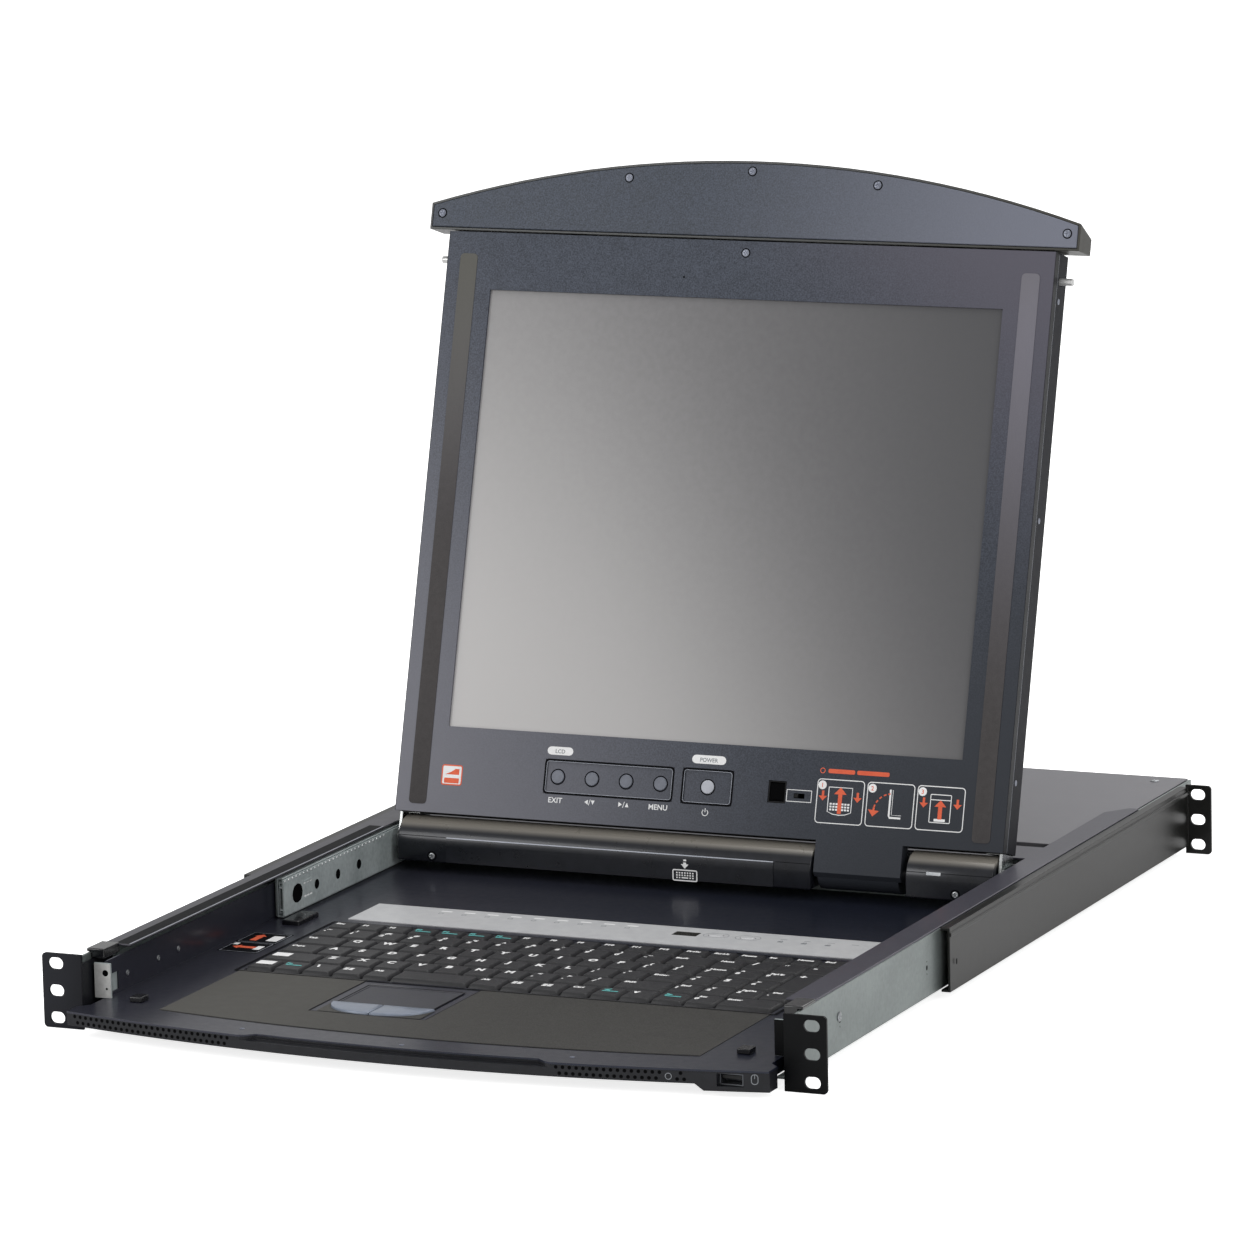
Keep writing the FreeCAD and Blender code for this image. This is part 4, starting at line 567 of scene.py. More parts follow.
screws = {
    "cover": [(-200, 643), (-70, 643), (70, 643), (200, 643)],  # on the rear cover, x and y
    "rail": [70, 330, 460],                         # along the rails, on both sides
    "handle": [(-206, 387.6), (206, 387.6), (-82, 413.2), (82, 413.2), (-0.7, 419.4)],
    "bezel": (-0.4, 369.3),                         # x and height on the display, as for the handle
    "side": [348, 216, 59],                         # up both sides of the display
    "wall": [41, 79, 104],                          # inside the tray's walls
    "nose": [(-101.5, -25), (0, -30.5), (101, -25)],
}
screwSizes = {                                      # radius and height of the head
    "chassis": (2.8, 0.9), "handle": (2.3, 0.7), "bezel": (2.2, 0.6), "side": (1.8, 0.3), "wall": (1.7, 0.7),
    "nose": (1.5, 0.35), "bar": (2.0, 0.8),
}
top, face = (0, 0, 1), tuple(leanedUp)
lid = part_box("rear_cover")[1].z / mm
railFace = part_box("side_rail_right")[1].x / mm
screwHeads("chassisScrews", [((x, y, lid), top, (1, 0, 0)) for x, y in screws["cover"]]
           + [((side * railFace, y, 4), (side, 0, 0), (0, 1, 0)) for side in (-1, 1) for y in screws["rail"]],
           *screwSizes["chassis"], "screw_steel", "chassis", "screw_steel", ("chassis_screws",))
screwHeads("handleScrews", [(leaned(x, display["front"] - 0.5, height), face, (1, 0, 0))
                            for x, height in screws["handle"]], *screwSizes["handle"], "blackScrew", "lcd")
seats = [ringMark(x, height, 3.1, 3.1, 3.1, 0.8) for x, height in screws["handle"]]
printMarks("handleScrewSeats", seats, displayFace(0.54), "blackInk", "lcd")
x, height = screws["bezel"]
seats = [ringMark(x, height, 3.0, 3.0, 3.0, 0.8)]
printMarks("bezelScrewSeat", seats, displayFace(0.03), "blackInk", "lcd")
screwHeads("bezelScrew", [(leaned(x, display["front"], height), face, (1, 0, 0))], *screwSizes["bezel"],
           "blackScrew", "lcd")
screwHeads("displaySideScrews", [(leaned(side * display["half"], -2.5, height), (side, 0, 0), (0, 1, 0))
                                 for side in (-1, 1) for height in screws["side"]],
           *screwSizes["side"], "blackScrew", "lcd")
screwHeads("trayWallScrews", [((side * 208.6, y, 3), (-side, 0, 0), (0, 1, 0)) for side in (-1, 1)
                              for y in screws["wall"]], *screwSizes["wall"], "screw_steel", "tray")
screwHeads("noseScrews", [((x, y, -6), top, (1, 0, 0)) for x, y in screws["nose"]], *screwSizes["nose"],
           "blackScrew", "tray")
print("screws ready")


# ---- hinge bars: rolled sheet over the hinge line, with a skin in front

hingeBars = {
    "round": 15.2, "bottom": 0.5, "soften": 0.9, "left": (-195.5, 79.0), "right": (140.0, 195.5),
    "skin": (-162.0, 55.0), "skinProud": 0.7, "skinFoot": 1.0, "skinTop": 16.3,
    "screws": (-172.0, 172.0), "screwHeight": 4.2, "clip": (158.0, 15.9), "icon": (-2.6, 7.4),
    "lineHeight": 16.15, "seamHeight": 16.2, "seams": ((-195, -163), (56, 78.5), (140.5, 195)),
}


def barOutline(look):                               # half a circle over straight sides, flat underneath
    turn = np.linspace(math.pi, 0, 37)
    over = np.stack([hingeY + look["round"] * np.cos(turn), hingeZ + look["round"] * np.sin(turn)], axis=-1)
    foot = np.linspace(0, math.pi / 2, 5)
    back = np.stack([hingeY + look["round"] - 1 + np.cos(foot), look["bottom"] + 1 - np.sin(foot)], axis=-1)
    front = np.stack([hingeY - look["round"] + 1 - np.sin(foot), look["bottom"] + 1 - np.cos(foot)], axis=-1)
    return np.concatenate([over, back, front])


def skinOutline(look):                              # up the front, along the curve, and down inside
    outer, inner = look["round"] + look["skinProud"], look["round"] - 0.2
    end = math.asin((look["skinTop"] - hingeZ) / outer)
    turn = math.pi - np.linspace(0, end, 9)
    out = np.stack([hingeY + outer * np.cos(turn), hingeZ + outer * np.sin(turn)], axis=-1)
    back = np.stack([hingeY + inner * np.cos(turn), hingeZ + inner * np.sin(turn)], axis=-1)[::-1]
    foot = [(hingeY - outer, look["skinFoot"])], [(hingeY - inner, look["skinFoot"])]
    return np.concatenate([foot[0], out, back, foot[1]])


carrier = bodyOf["hinge_bar_left"]
for side in ("left", "right"):
    low, high = hingeBars[side]
    points, faces = carriedAlongX(barOutline(hingeBars), softEnds(low, high, hingeBars["soften"], 12.0))
    makePiece("rolledBar" + side.title(), points, faces, "hinge_paint", carrier,
              ("hinge_bar_" + side,))
low, high = hingeBars["skin"]
points, faces = carriedAlongX(skinOutline(hingeBars), [(low, 0), (low, 1), (high, 1), (high, 0)])
makePiece("hingeSkin", points, faces, "hinge_paint", carrier)


def barFront(lift):                                 # straight below the hinge line, round above it
    reach = hingeBars["round"] + lift

    def lay(x, z):
        rise = np.clip(z - hingeZ, 0, reach - 0.5)
        return np.stack([x, hingeY - np.sqrt(reach ** 2 - rise ** 2), z], axis=-1)

    return lay


steps = np.linspace(low, high, 12)
# painted highlight: a pale line along the top edge of the hinge skin
line = [strokeMark(np.stack([steps, hingeBars["lineHeight"] + 0 * steps], axis=-1), 0.55)]
printMarks("skinLine", line, barFront(0.78), "paleLine", carrier)
seams = [strokeMark(np.stack([np.linspace(*span, 4), np.full(4, hingeBars["seamHeight"])], axis=-1), 0.35)
         for span in hingeBars["seams"]]
printMarks("barSeams", seams, barFront(0.05), "blackInk", carrier)
height = hingeBars["screwHeight"]
screwHeads("barScrews", [((x, hingeY - hingeBars["round"], height), (0, -1, 0), (1, 0, 0))
                         for x in hingeBars["screws"]], *screwSizes["bar"], "screw_steel", carrier)
seats = [ringMark(x, height, 3.2, 3.2, 3.2, 1.4) for x in hingeBars["screws"]]
printMarks("barScrewSeats", seats, barFront(0.04), "blackInk", carrier)
printMarks("barClip", [plateMark(*hingeBars["clip"], 4.6, 0.9, 0.3)], barFront(0.5), "screw_steel", carrier)
x, z = hingeBars["icon"]
keys = [plateMark(x + 1.75 * column, z - 4.9 + 1.5 * row, 0.5, 0.45, 0.1) for row in (0, 1, 2)
        for column in range(-3, 4) if row or abs(column) > 1]
keys.append(plateMark(x, z - 4.9, 2.2, 0.4, 0.1))
printMarks("slideInIcon", [ringMark(x, z - 3.4, 8.2, 3.6, 1.2, 0.75), *keys,
                           arrowMark(x, z + 3.6, 180, 5.6, 1.9, 3.4)], barFront(0.76), "whiteInk", carrier)
print("hinge bars ready")


# ---- keyboard: dished caps and their legends

keyboard = {
    "pitch": 21.0, "functionDeep": 17.0, "gap": 0.7, "number": 75.6,
    "rings": (                                      # inset, share of the size, corner radius, height
        (0, 0, 0, -7.3), (0, 1, 0.9, -7.3), (0.1, 1, 0.9, -6.4), (1.25, 1, 1.1, -4.5), (1.6, 1, 1.2, -4.12),
        (2.1, 1, 1.3, -4.0), (2.9, 1, 1.3, -4.02), (0, 0.45, 1.0, -4.12), (0, 0, 0, -4.14),
    ),
    "letter": 6.8, "word": 4.0, "small": 4.6, "bold": 0.065, "inkHeight": -3.955,
    "function": "Esc F1 F2 F3 F4 F5 F6 F7 F8 F9 F10 F11 F12 PrtSc ScrLk Pause Ins Home End",
    "rows": (
        ". Z X C V B N M <|, >|. ?|/ Shift",
        "Caps A S D F G H J K L :|; \"|' Enter",
        "Tab Q W E R T Y U I O P {|[ }|]",
        "~|` !|1 @|2 #|3 $|4 %|5 ^|6 &|7 *|8 (|9 )|0 _|- Back",
    ),
    "bottom": ". Fn \\ . Alt . Alt . . Ctrl < v > Ins|0 Enter",  # a lone dot is a key without a word
    "pad": ("End|1 v|2 PgDn|3 Del|.", "<|4 5 >|6", "Home|7 ^|8 PgUp|9", "Num / * -"),
    "mainWidths": ([1.75, *[1] * 10, 1.75], [1.25, *[1] * 11, 1.25], [1.5, *[1] * 12], [*[1] * 12, 1.5]),
    "bottomWidths": (17.5, 18, 19.5, 19.5, 18, 49.5, 20, 18.9, 18.8, 18.2, 18.1, 19.9, 20.1, 19.4, 35.6),
    "teal": {"function_keys": (3, 4, 5, 6), "bottom_keys": (1, 10, 12)},
    "plates": {"typing_keys": (0,), "bottom_keys": (0,)},
    "blobs": {"bottom_keys": (3, 7, 8)},            # keys with four small squares
}
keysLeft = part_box("function_keys")[0].x / mm - keyboard["gap"] / 2
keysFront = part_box("bottom_keys")[0].y / mm - keyboard["gap"] / 2
padLeft = -keysLeft - keyboard["number"]
keyPlan = {"function_keys": [], "typing_keys": [], "bottom_keys": [], "number_keys": []}


def addRow(node, row, left, span, widths, words, deep):
    total, done = sum(widths), 0.0
    for width, word in zip(widths, words.split(" ")):
        keyPlan[node].append((left + span * done / total, span * width / total,
                              keysFront + row * keyboard["pitch"], deep, word))
        done += width


pitch = keyboard["pitch"]
addRow("function_keys", 5, keysLeft, -2 * keysLeft, [1] * 19, keyboard["function"], keyboard["functionDeep"])
addRow("bottom_keys", 0, keysLeft, -2 * keysLeft, keyboard["bottomWidths"], keyboard["bottom"], pitch)
for row, (widths, words) in enumerate(zip(keyboard["mainWidths"], keyboard["rows"]), start=1):
    addRow("typing_keys", row, keysLeft, -2 * keysLeft - keyboard["number"], widths, words, pitch)
for row, words in enumerate(keyboard["pad"], start=1):
    share = 1.0 if row in (1, 4) else 0.75
    columns = 4 if share == 1.0 else 3
    addRow("number_keys", row, padLeft, keyboard["number"] * share, [1] * columns, words, pitch)
keyPlan["number_keys"].append((padLeft + keyboard["number"] * 0.75, keyboard["number"] * 0.25,
                               keysFront + 2 * pitch, 2 * pitch, "+"))


def legendMarks(left, width, front, deep, word):    # at the back left; a bar parts upper from lower
    x, y, bold = left + 3.0, front + deep - 3.4, keyboard["bold"]
    parts = word.split("|")
    if len(parts) == 2:
        small = keyboard["small"] if len(parts[0]) == 1 else keyboard["word"]
        low = keyboard["small"] if len(parts[1]) == 1 else keyboard["word"]
        return [wordMark(parts[0], x + 1.6, y - 3.0, small, 0, bold),
                wordMark(parts[1], x + 0.2, y - 8.0, low * 1.1, 0, bold)]
    if len(word) == 1:
        return [wordMark(word, x + 1.2, y - 5.4, keyboard["letter"], 0, bold)]
    return [wordMark(word, x, y - 4.2, keyboard["word"], 0, bold)]


inks = {"whiteInk": {}, "tealInk": {}}
for node, plan in keyPlan.items():
    spots = np.array([row[:4] for row in plan], float)
    centres = np.stack([spots[:, 0] + spots[:, 1] / 2, spots[:, 2] + spots[:, 3] / 2], axis=-1)
    halves = (spots[:, [1, 3]] - keyboard["gap"]) / 2
    points, faces = cappedBlocks(centres, halves, keyboard["rings"])
    makePiece(node.replace("_k", "K") + "Dished", points, faces, "key_plastic", bodyOf[node],
              (node,), angle=50)
    for index, (left, width, front, deep, word) in enumerate(plan):
        ink = "tealInk" if index in keyboard["teal"].get(node, ()) else "whiteInk"
        marks = []
        if index in keyboard["plates"].get(node, ()):
            marks = [plateMark(left + 8.2, front + deep - 8.2, 5.4, 3.9, 0.6)]
        elif index in keyboard["blobs"].get(node, ()):
            marks = [plateMark(left + 6.2 + dx, front + deep - 7.8 + dy, 1.35, 1.1, 0.2)
                     for dx in (-1.6, 1.6) for dy in (-1.3, 1.3)]
        elif word != ".":
            marks = legendMarks(left, width, front, deep, word)
        if ink == "tealInk":
            marks.append(plateMark(left + width / 2, front + deep - 9.6, 5.0, 0.8, 0.2))
        inks[ink].setdefault(node, []).extend(marks)
for ink, byNode in inks.items():
    for node, marks in byNode.items():
        name = node.replace("_k", "K") + ink[0].upper() + ink[1:]
        printMarks(name, marks, level(keyboard["inkHeight"]), ink, bodyOf[node])
low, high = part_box("keyboard_base")
halfX, halfY = (high.x - low.x) / 2 / mm + 1.7, (high.y - low.y) / 2 / mm + 1.7
rim = [ringMark(0, (low.y + high.y) / 2 / mm, halfX, halfY, 2.0, 1.7)]
printMarks("keyboardRim", rim, level(-5.66), "blackInk", bodyOf["keyboard_base"])
print("keyboard ready:", sum(len(plan) for plan in keyPlan.values()), "keys")


# ---- display front: grooves, button rings, legends and the folding diagrams

front = {
    "panels": ((-58.75, 43.5, 43.1, 10.8), (6.5, 43.5, 17.0, 11.1)),  # middle and half sizes
    "buttons": (-92.875, -70.125, -47.375, -24.625, 6.5), "buttonHeight": 43.5,
    "labels": ((-92.4, 59.3, 8.6, 2.5), (6.2, 60.0, 11.2, 2.6)),
    "words": ((-92.9, 27.6, "EXIT"), (-24.6, 27.6, "MENU")),
    "boxes": ((93.2, 40.0), (125.5, 40.0), (157.7, 40.0)), "boxHalf": (15.3, 13.4),
    "badge": (-163.6, 40.1),
}
lcd = bodyOf["lcd_bezel"]
grooves = [ringMark(*panel, 2.6, 1.3) for panel in front["panels"]]
printMarks("panelGrooves", grooves, displayFace(0.03), "blackInk", lcd)
# painted highlight: pale rings along the edges of the button panels, inside the grooves
edges = [ringMark(x, z, halfX - 1.3, halfZ - 1.3, 1.8, 0.25) for x, z, halfX, halfZ in front["panels"]]
printMarks("panelEdges", edges, displayFace(0.035), "paleLine", lcd)
rings = [ringMark(x, front["buttonHeight"], 5.0, 5.0, 5.0, 0.75) for x in front["buttons"]]
printMarks("buttonRings", rings, displayFace(-display["sink"] + 0.03), "blackInk", lcd)

marks = [plateMark(x, z, halfX, halfZ, halfZ) for x, z, halfX, halfZ in front["labels"]]
marks += [wordMark(word, x, z, 4.6, 0.5) for x, z, word in front["words"]]
for x, sign in ((-70.1, 1), (-47.4, -1)):           # pairs of small triangles with a stroke between
    marks += [shapeMark([(x - 3.4, 29.3), (x - 1.0, 27.8), (x - 1.0, 30.8)] if sign > 0 else
                        [(x - 1.0, 29.3), (x - 3.4, 30.8), (x - 3.4, 27.8)]),
              strokeMark([(x - 0.5, 27.4), (x + 0.5, 31.0)], 0.4),
              shapeMark([(x + 1.0, 30.5), (x + 2.2, 27.8), (x + 3.4, 30.5)] if sign > 0 else
                        [(x + 1.0, 27.9), (x + 3.4, 27.9), (x + 2.2, 30.6)])]
turn = np.linspace(math.radians(125), math.radians(415), 18)
marks += [strokeMark(np.stack([6.5 + 1.9 * np.cos(turn), 28.0 + 1.9 * np.sin(turn)], axis=-1), 0.45),
          strokeMark([(6.5, 28.2), (6.5, 30.6)], 0.5)]
marks.append(ringMark(66.6, 41.9, 8.2, 3.7, 0.3, 0.4))
halfX, halfZ = front["boxHalf"]
for number, (x, z) in enumerate(front["boxes"], start=1):
    marks += [ringMark(x, z, halfX, halfZ, 2.4, 0.55), plateMark(x - 12.0, z + 9.6, 2.7, 2.7, 2.7)]
x, z = front["boxes"][0]                            # the keyboard tray going in
outline = [(x - 7.6, z + 8.6), (x + 7.6, z + 8.6), (x + 7.6, z - 6.2), (x + 4, z - 7.6), (x, z - 8.0),
           (x - 4, z - 7.6), (x - 7.6, z - 6.2), (x - 7.6, z + 8.6), (x - 7.2, z + 8.6)]
marks.append(strokeMark(outline, 0.5))
marks += [plateMark(x + column * 1.9, z - 1.4 - row * 1.7, 0.68, 0.55, 0.1) for row in range(3)
          for column in range(-3, 4) if column]
x, z = front["boxes"][1]                            # the display folding down
marks += [strokeMark([(x - 0.2, z + 9.5), (x - 0.2, z - 6.2), (x + 0.2, z - 7.4), (x + 7.4, z - 7.4)], 1.15),
          strokeMark([(x + 1.4, z + 9.3), (x + 1.4, z - 5.8), (x + 7.6, z - 5.8)], 0.3)]
x, z = front["boxes"][2]                            # the display going in
marks += [ringMark(x, z, 6.8, 8.6, 0.8, 0.5), strokeMark([(x - 6.6, z + 5.2), (x + 6.6, z + 5.2)], 0.5),
          plateMark(x, z - 6.9, 3.6, 0.8, 0.2)]
printMarks("displayPrint", marks, displayFace(0.05), "whiteInk", lcd)

x, z = front["badge"]
printMarks("badgePlate", [plateMark(x, z, 6.6, 5.9, 1.3)], displayFace(0.045), "whiteInk", lcd)
marks = [ringMark(x, z, 7.0, 6.3, 1.6, 0.8), plateMark(x, z - 3.4, 5.0, 1.6, 0.5),
         shapeMark([(x - 4.6, z + 0.3), (x + 4.8, z + 0.3), (x + 4.8, z + 3.9), (x + 2.2, z + 3.9),
                    (x - 0.8, z + 1.9)])]
x, z = front["boxes"][0]
marks += [arrowMark(x, z + 0.8, 0, 16.0, 2.6, 5.4), arrowMark(x - 11.2, z + 3.2, 180, 6.0, 1.5, 3.6),
          arrowMark(x + 11.2, z + 3.2, 180, 6.0, 1.5, 3.6)]
x, z = front["boxes"][1]
turn = np.radians([166, 157, 150, 141, 134, 125, 118, 109, 103, 96]).reshape(5, 2)
marks += [strokeMark(np.stack([x + 1.0 + 11.5 * np.cos(pair), z - 4.6 + 11.5 * np.sin(pair)], axis=-1), 0.85)
          for pair in turn]
marks.append(arrowMark(x - 10.4, z - 4.6, 174, 5.4, 1.2, 4.8))
x, z = front["boxes"][2]
marks += [arrowMark(x, z - 0.6, 0, 11.5, 2.6, 5.0), arrowMark(x - 10.8, z + 3.2, 180, 6.0, 1.5, 3.6),
          arrowMark(x + 10.8, z + 3.2, 180, 6.0, 1.5, 3.6)]
marks += [ringMark(80.6, 58.2, 1.7, 1.7, 1.7, 0.45), plateMark(92.8, 58.2, 8.6, 1.3, 0.9),
          plateMark(113.2, 58.2, 10.4, 1.3, 0.9)]
printMarks("displayAccents", marks, displayFace(0.07), "orangeInk", lcd)
labels = [wordMark("LCD", -92.4, 57.9, 3.4, 0.5), wordMark("POWER", 6.2, 58.6, 3.4, 0.5)]
printMarks("labelWords", labels, displayFace(0.08), "greyInk", lcd)
numbers = [wordMark(str(number), x - 12.0, z + 8.3, 3.6, 0.5)
           for number, (x, z) in enumerate(front["boxes"], start=1)]
printMarks("stepNumbers", numbers, displayFace(0.08), "orangeInk", lcd)
printMarks("portMouth", [plateMark(52.1, 43.5, 4.4, 5.3, 0.3), plateMark(52.1, 38.0, 2.6, 1.0, 0.2)],
           displayFace(-0.6), "darkHole", lcd)
strips = {"x": 185.2, "half": 5.8, "low": 21.3, "high": 363.0, "proud": 0.3}
middle, reach = (strips["low"] + strips["high"]) / 2, (strips["high"] - strips["low"]) / 2
proud = strips["proud"]
spots = [(side * strips["x"], middle) for side in (-1, 1)]
points, faces = cappedBlocks(spots, [(strips["half"], reach)] * 2,
                             [(0, 0, 0, 0), (0, 1, 2.6, 0), (0, 1, 2.6, proud), (0.2, 1, 2.5, proud + 0.03),
                              (0, 0, 0, proud + 0.04)], 5)
places = leaned(points[:, 0], display["front"] - points[:, 2], points[:, 1])
makePiece("gripStrips", places, faces, "grip_strip", lcd, ("grip_strips",))
printMarks("frontDot", [plateMark(-39.8, 353.2, 0.7, 0.7, 0.7)], displayFace(0.03), "blackInk", lcd)
for side in (-1, 1):
    seam = [strokeMark([(side * -7.05, 17.0), (side * -7.05, 200.0), (side * -7.05, 376.0)], 0.3)]
    printMarks("displaySeam" + sideName[side], seam, displaySide(side, 0.03), "paleLine", lcd)
print("display front ready")


# ---- tray: perforations, socket tongue, film border, status icons and the bare label plate

trayLook = {
    "bow": 999.5, "bowMiddle": 956.5, "holes": ((-210.0, -104.0), (97.0, 171.0)), "holePitch": 3.9,
    "holeRows": (-8.6, -12.0), "holeRound": 1.05,
}
tray = bodyOf["tray_deck"]


def noseFront(lift):                                # the bowed front of the bar
    reach = trayLook["bow"] + lift
    return lambda x, z: np.stack([x, trayLook["bowMiddle"] - np.sqrt(reach ** 2 - x ** 2), z], axis=-1)


def filmEdge(inset):                                # the film's bowed front edge, as a path
    x = np.linspace(-166.0 + inset, 166.0 - inset, 40)
    return np.stack([x, 956.5 - np.sqrt((971.5 - inset) ** 2 - x ** 2)], axis=-1)


holes = []
for low, high in trayLook["holes"]:
    for row, z in enumerate(trayLook["holeRows"]):
        spots = np.arange(low + row * trayLook["holePitch"] / 2, high, trayLook["holePitch"])
        holes += [plateMark(x, z, trayLook["holeRound"], trayLook["holeRound"], trayLook["holeRound"])
                  for x in spots]
holes = [hole for hole in holes if abs(hole[0][:, 0].mean() - 160.4) > 3.4]
printMarks("noseHoles", holes, noseFront(0.04), "darkHole", tray)
rims = [ringMark(160.4, -10.6, 1.9, 1.9, 1.9, 0.35), ringMark(207.6, -10.8, 2.0, 2.9, 1.9, 0.4),
        strokeMark([(207.6, -8.1), (207.6, -10.4)], 0.35)]
printMarks("nosePrint", rims, noseFront(0.05), "greyInk", tray)
points, faces = cappedBlocks([(194.2, -11.6)], [(5.6, 0.9)], [(0, 0, 0, 0), (0, 1, 0.3, 0), (0, 1, 0.3, 7),
                                                             (0, 0, 0, 7)])
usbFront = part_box("usb_port")[0].y / mm
places = np.stack([points[:, 0], usbFront + 1.2 + points[:, 2], points[:, 1] + 1.1], axis=-1)
makePiece("socketTongue", places, faces, "inlet_plastic", tray)
printMarks("filmBorder", [strokeMark(filmEdge(0.5), 0.6),
                          strokeMark([(-85.0, 100.5), (-85.0, 60.0), (-85.0, 24.6)], 0.5),
                          strokeMark([(-85.0, 24.6), (-48.0, 24.6), (-12.0, 24.6)], 0.5),
                          strokeMark([(-12.0, 24.6), (-12.0, 60.0), (-12.0, 100.5)], 0.5)],
           level(-5.66), "blackInk", tray)
pad = [ringMark(-48.5, 62.4, 36.2, 37.5, 1.2, 5.0)]
printMarks("touchBorder", pad, level(-5.97), "borderPaint", tray)
printMarks("touchGroove", [ringMark(-48.0, 68.0, 30.7, 22.2, 1.2, 0.9)], level(-5.45), "blackInk", tray)

padButtons = {"gap": 0.35, "rise": 0.5, "height": -4.4}
low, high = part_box("touchpad_button_left")
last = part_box("touchpad_button_right")[1].x / mm
first, back, frontY = low.x / mm, high.y / mm, low.y / mm
middle, reach, base = (first + last) / 2, (last - first) / 2, low.z / mm


def padEdge(share):                                 # the front edge: y = back - depth * (1 - |u|^3.4)^0.7
    return back - (back - frontY) * (1 - np.clip(share, 0, 1) ** 3.4) ** 0.7


x = np.linspace(first - 0.4, last + 0.4, 60)
y = np.concatenate([0 * x + frontY - 0.5, padEdge(np.abs(x - middle) / reach) - 0.3])
x = np.concatenate([x, x])
makePiece("padSurround", np.stack([x, y, -5.62 + 0 * x], axis=-1), gridFaces(2, 60, False), "film", tray,
          closed=False)


def stackedOutline(outline, rings):                 # a closed outline, drawn in by a share at each height
    share, height = (np.array(column, float)[:, None, None] for column in zip(*rings))
    centre = outline.mean(axis=0)
    flat = centre + (outline[None] - centre) * share
    points = np.concatenate([flat, height + 0 * flat[..., :1]], axis=-1).reshape(-1, 3)
    return points, gridFaces(len(rings), len(outline))


height = padButtons["height"]
for side, node in ((-1, "touchpad_button_left"), (1, "touchpad_button_right")):
    share = np.linspace(0, 1, 22) ** 0.8            # u, from 0 in the middle to 1 at the outer end
    frontEdge = np.stack([middle + side * (padButtons["gap"] + (reach - padButtons["gap"]) * share),
                          padEdge(share)], axis=-1)
    backEdge = np.stack([middle + side * (padButtons["gap"] + (reach - padButtons["gap"]) * share[-2::-1]),
                         np.full(21, back)], axis=-1)
    outline = np.concatenate([frontEdge, backEdge])
    points, faces = stackedOutline(outline, [(0, base), (1, base), (1, height - padButtons["rise"]),
                                             (0.97, height - 0.12), (0.9, height), (0, height + 0.1)])
    makePiece("padButton" + sideName[side], points, faces, "touch_button", bodyOf[node],
              (node,), angle=50)

icons, bars = [], []
for step in range(9):                               # small pale lamps with a bar above each
    x = -116 + step * 15.2
    bars.append(plateMark(x, 273.0, 3.6, 1.0, 0.6))
    icons.append(ringMark(x - 1.5, 267.6, 1.5, 1.3, 0.5, 0.4))
printMarks("stripBars", bars, level(-5.36), "whiteInk", tray)
for x in (62.0, 82.3):
    icons.append(ringMark(x, 266.0, 8.0, 5.2, 5.2, 0.35))
for x in (104, 119, 134):                           # padlocks for the three locks
    icons += [plateMark(x, 262.6, 1.7, 1.3, 0.3), ringMark(x, 264.2, 1.1, 1.4, 1.0, 0.35)]
icons += [plateMark(x, 268.6, 2.2, 0.35, 0.2) for x in (104, 119, 134, 149)]
printMarks("stripIcons", icons, level(-5.36), "greyInk", tray)
printMarks("stripWindow", [plateMark(43.6, 264.5, 7.75, 4.5, 0.4)], level(-5.37), "darkWindow", tray)

labelPlate = {"middle": (-190.0, 166.0), "half": (13.4, 25.0)}
x, y = labelPlate["middle"]
printMarks("labelPlate", [plateMark(x, y, *labelPlate["half"], 1.5)], level(-5.96), "blackInk", tray)
frames = [ringMark(x, y + offset, 12.4, 11.4, 1.0, 0.5) for offset in (12.2, -12.2)]
printMarks("labelFrame", frames, level(-5.93), "paleLine", tray)
arrows = [arrowMark(x - 4.4, y + 12.2, 0, 15.0, 4.4, 5.6), arrowMark(x - 1.4, y - 12.0, 90, 15.0, 4.4, 5.6)]
printMarks("labelAccents", arrows, level(-5.91), "orangeInk", tray)
blocks = [plateMark(x + 7.0, y + 12.0, 3.6, 6.4, 0.5), plateMark(x + 8.0, y - 12.0, 2.2, 4.4, 0.5),
          plateMark(x - 9.6, y - 5.4, 1.6, 2.2, 0.4)]
printMarks("labelWhites", blocks, level(-5.91), "whiteInk", tray)
restPad = {"middle": (-190.8, 226.5), "half": (5.8, 13.5), "low": -6.0, "edge": -3.6, "top": -3.1}
points, faces = cappedBlocks([restPad["middle"]], [restPad["half"]], [
    (0, 0, 0, restPad["low"]), (0, 1, 1.0, restPad["low"]), (0, 1, 1.0, restPad["edge"]),
    (0.5, 1, 1.0, restPad["top"]), (0, 0, 0, restPad["top"] + 0.05)])
makePiece("restPad", points, faces, "bumper_rubber", tray)
print("tray ready")


# ---- slides, rails and the rear

slides = {"ballRound": 1.25, "ballPitch": 6.2, "ballSpan": (234.0, 622.0), "ballX": 203.9, "ballHeight": 16.6}


def balls(centres, radius):                         # spheres on a grid of height and turn
    height, turn = np.meshgrid(np.linspace(-math.pi / 2, math.pi / 2, 6), np.arange(8) * math.pi / 4,
                               indexing="ij")
    shell = np.stack([np.cos(height) * np.cos(turn), np.cos(height) * np.sin(turn), np.sin(height)], axis=-1)
    points = np.array(centres, float)[:, None, None, :] + radius * shell[None]
    return points.reshape(-1, 3), gridFaces(6, 8, True, len(centres))


along = np.arange(*slides["ballSpan"], slides["ballPitch"])
centres = [(side * slides["ballX"], y, slides["ballHeight"]) for side in (-1, 1) for y in along]
points, faces = balls(centres, slides["ballRound"])
makePiece("slideBalls", points, faces, "ballSteel", bodyOf["lcd_slide_middles"], angle=80)


def outward(side, reach):                           # an upright face that looks away from the middle
    return lambda y, z: np.stack([side * reach + 0 * y, y * side, z], axis=-1)


def forward(y):                                     # an upright face that looks to the front
    return lambda x, z: np.stack([x, y + 0 * x, z], axis=-1)


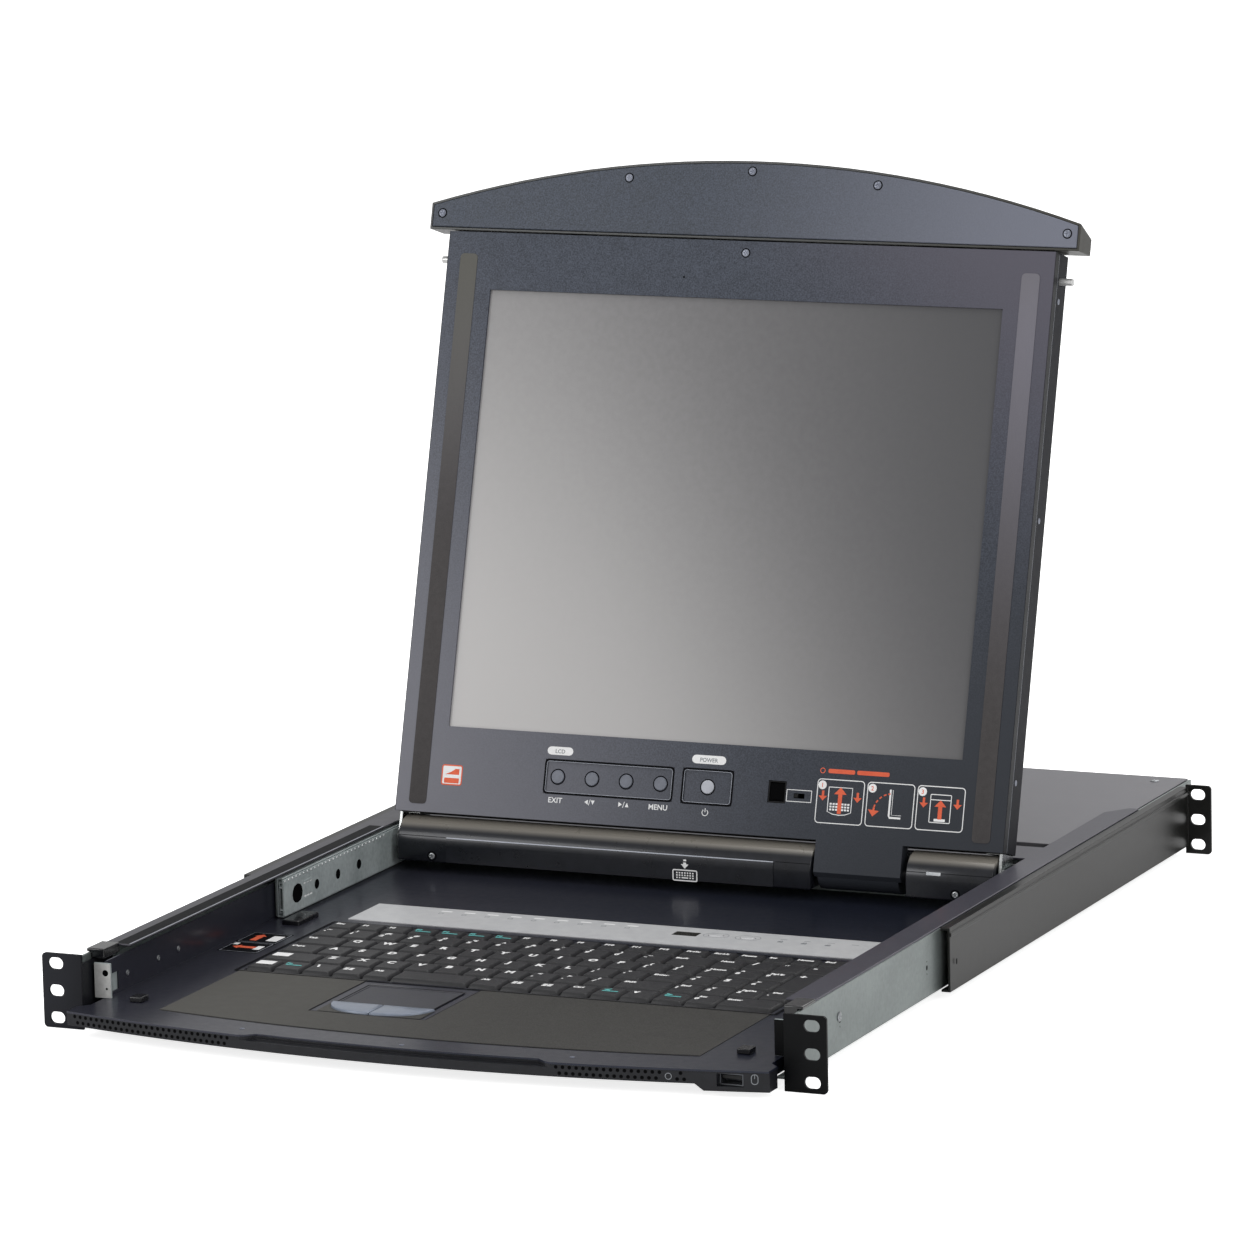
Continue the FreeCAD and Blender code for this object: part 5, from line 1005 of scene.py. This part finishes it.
slideBores = {"y": (269.0, 297.8, 326.6), "z": 6.5, "round": 3.1, "opening": (243.0, 5.6), "plane": 200.45}
for side in (-1, 1):
    marks = [plateMark(-side * y, slideBores["z"], *[slideBores["round"]] * 3) for y in slideBores["y"]]
    y, radius = slideBores["opening"]
    marks.append(plateMark(-side * y, slideBores["z"], radius + 1.2, radius, radius))
    printMarks("slideBores" + sideName[side], marks, outward(-side, -slideBores["plane"]), "darkHole",
               bodyOf["lcd_slide_members"])
# painted highlight: a pale line along the top inner edge of each tray wall
wallLine = np.linspace(18.0, 398.0, 6)
printMarks("trayWallEdges", [strokeMark(np.stack([side * 209.2 + 0 * wallLine, wallLine], axis=-1), 0.7)
                             for side in (-1, 1)], level(15.23), "paleLine", tray)
flangeLine = np.linspace(36.0, 368.0, 6)
shade = [strokeMark(np.stack([-208.2 + 0 * flangeLine, flangeLine], axis=-1), 9.4)]
printMarks("flangeShade", shade, level(21.26), "blackInk", "chassis")
# painted highlight: a pale line along the left flange's inner edge
flangeGlint = [strokeMark(np.stack([-203.6 + 0 * flangeLine, flangeLine], axis=-1), 1.1)]
printMarks("flangeLip", flangeGlint, level(21.29), "paleLine", "chassis")
# painted highlight: the left slide's front face painted bright silver, with its holes drawn dark over it
slideFront = {
    "x": -210.1, "y": 13.93, "z": 4.3, "half": (5.2, 10.0),
    "holes": ((-208.2, 8.8, 1.9), (-207.6, -0.4, 0.7)),
}
printMarks("slideFrontPlate", [plateMark(slideFront["x"], slideFront["z"], *slideFront["half"], 0.4)],
           forward(slideFront["y"]), "frontSilver", tray)
holes = [plateMark(x, z, radius, radius, radius) for x, z, radius in slideFront["holes"]]
printMarks("slideFrontHoles", holes, forward(slideFront["y"] - 0.04), "darkHole", tray)
slideDots = {"x": 201.0, "z": 17.0, "round": 1.0, "span": (227.0, 366.0), "pitch": 5.0}
along = np.arange(*slideDots["span"], slideDots["pitch"])
points, faces = balls([(side * slideDots["x"], y, slideDots["z"]) for side in (-1, 1) for y in along],
                      slideDots["round"])
makePiece("retainerDots", points, faces, "ballSteel", bodyOf["lcd_slide_members"], angle=80)
printMarks("slideFrontShade", [plateMark(210.1, 4.3, 5.3, 10.1, 0.4)],
           forward(slideFront["y"]), "ear_paint", tray)
for side in (-1, 1):
    name = sideName[side]
    spots = [plateMark(side * y, 1.6, 1.2, 1.5, 1.1) for y in (71.0, 202.0)]
    spots += [plateMark(side * y, 1.6 + dz, 0.45, 0.45, 0.45) for y in (71.0, 202.0) for dz in (-3.6, 3.6)]
    printMarks("railMarks" + name, spots, outward(side, railFace + 0.03), "blackInk", "chassis")
    printMarks("bracketMark" + name, [plateMark(side * 231.0, -0.5, 0.9, 1.8, 0.9)], outward(side, 226.93),
               "darkHole", bodyOf["rear_bracket_" + name.lower()])
    stamps = [plateMark(-side * (253 + 4 * (step % 3)), 10.6 - 8.0 * (step // 3), 1.5, 0.45, 0.2)
              for step in range(6)]
    printMarks("slideStamp" + name, stamps, outward(-side, -slideBores["plane"]), "whiteInk",
               bodyOf["lcd_slide_members"])

connector = {"first": -177.0, "pitch": 34.0, "count": 8, "half": (7.6, 3.3), "pins": 0.5}
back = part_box("port_connectors")[1].y / mm


def backward(y):                                    # an upright face that looks to the rear
    return lambda x, z: np.stack([-x, y + 0 * x, z], axis=-1)


sockets = [connector["first"] + connector["pitch"] * step for step in range(connector["count"])]
cores = [plateMark(-x, 0.0, *connector["half"], 1.6) for x in sockets]
printMarks("connectorCores", cores, backward(back + 0.03), "blackInk", "chassis")
pins = [plateMark(-x + (column - 2) * 2.3 + (row % 2) * 1.1, (row - 1) * 1.9, *[connector["pins"]] * 3)
        for x in sockets for row in range(3) for column in range(5)]
printMarks("connectorPins", pins, backward(back + 0.06), "screw_steel", "chassis")
print("slides and rear ready")
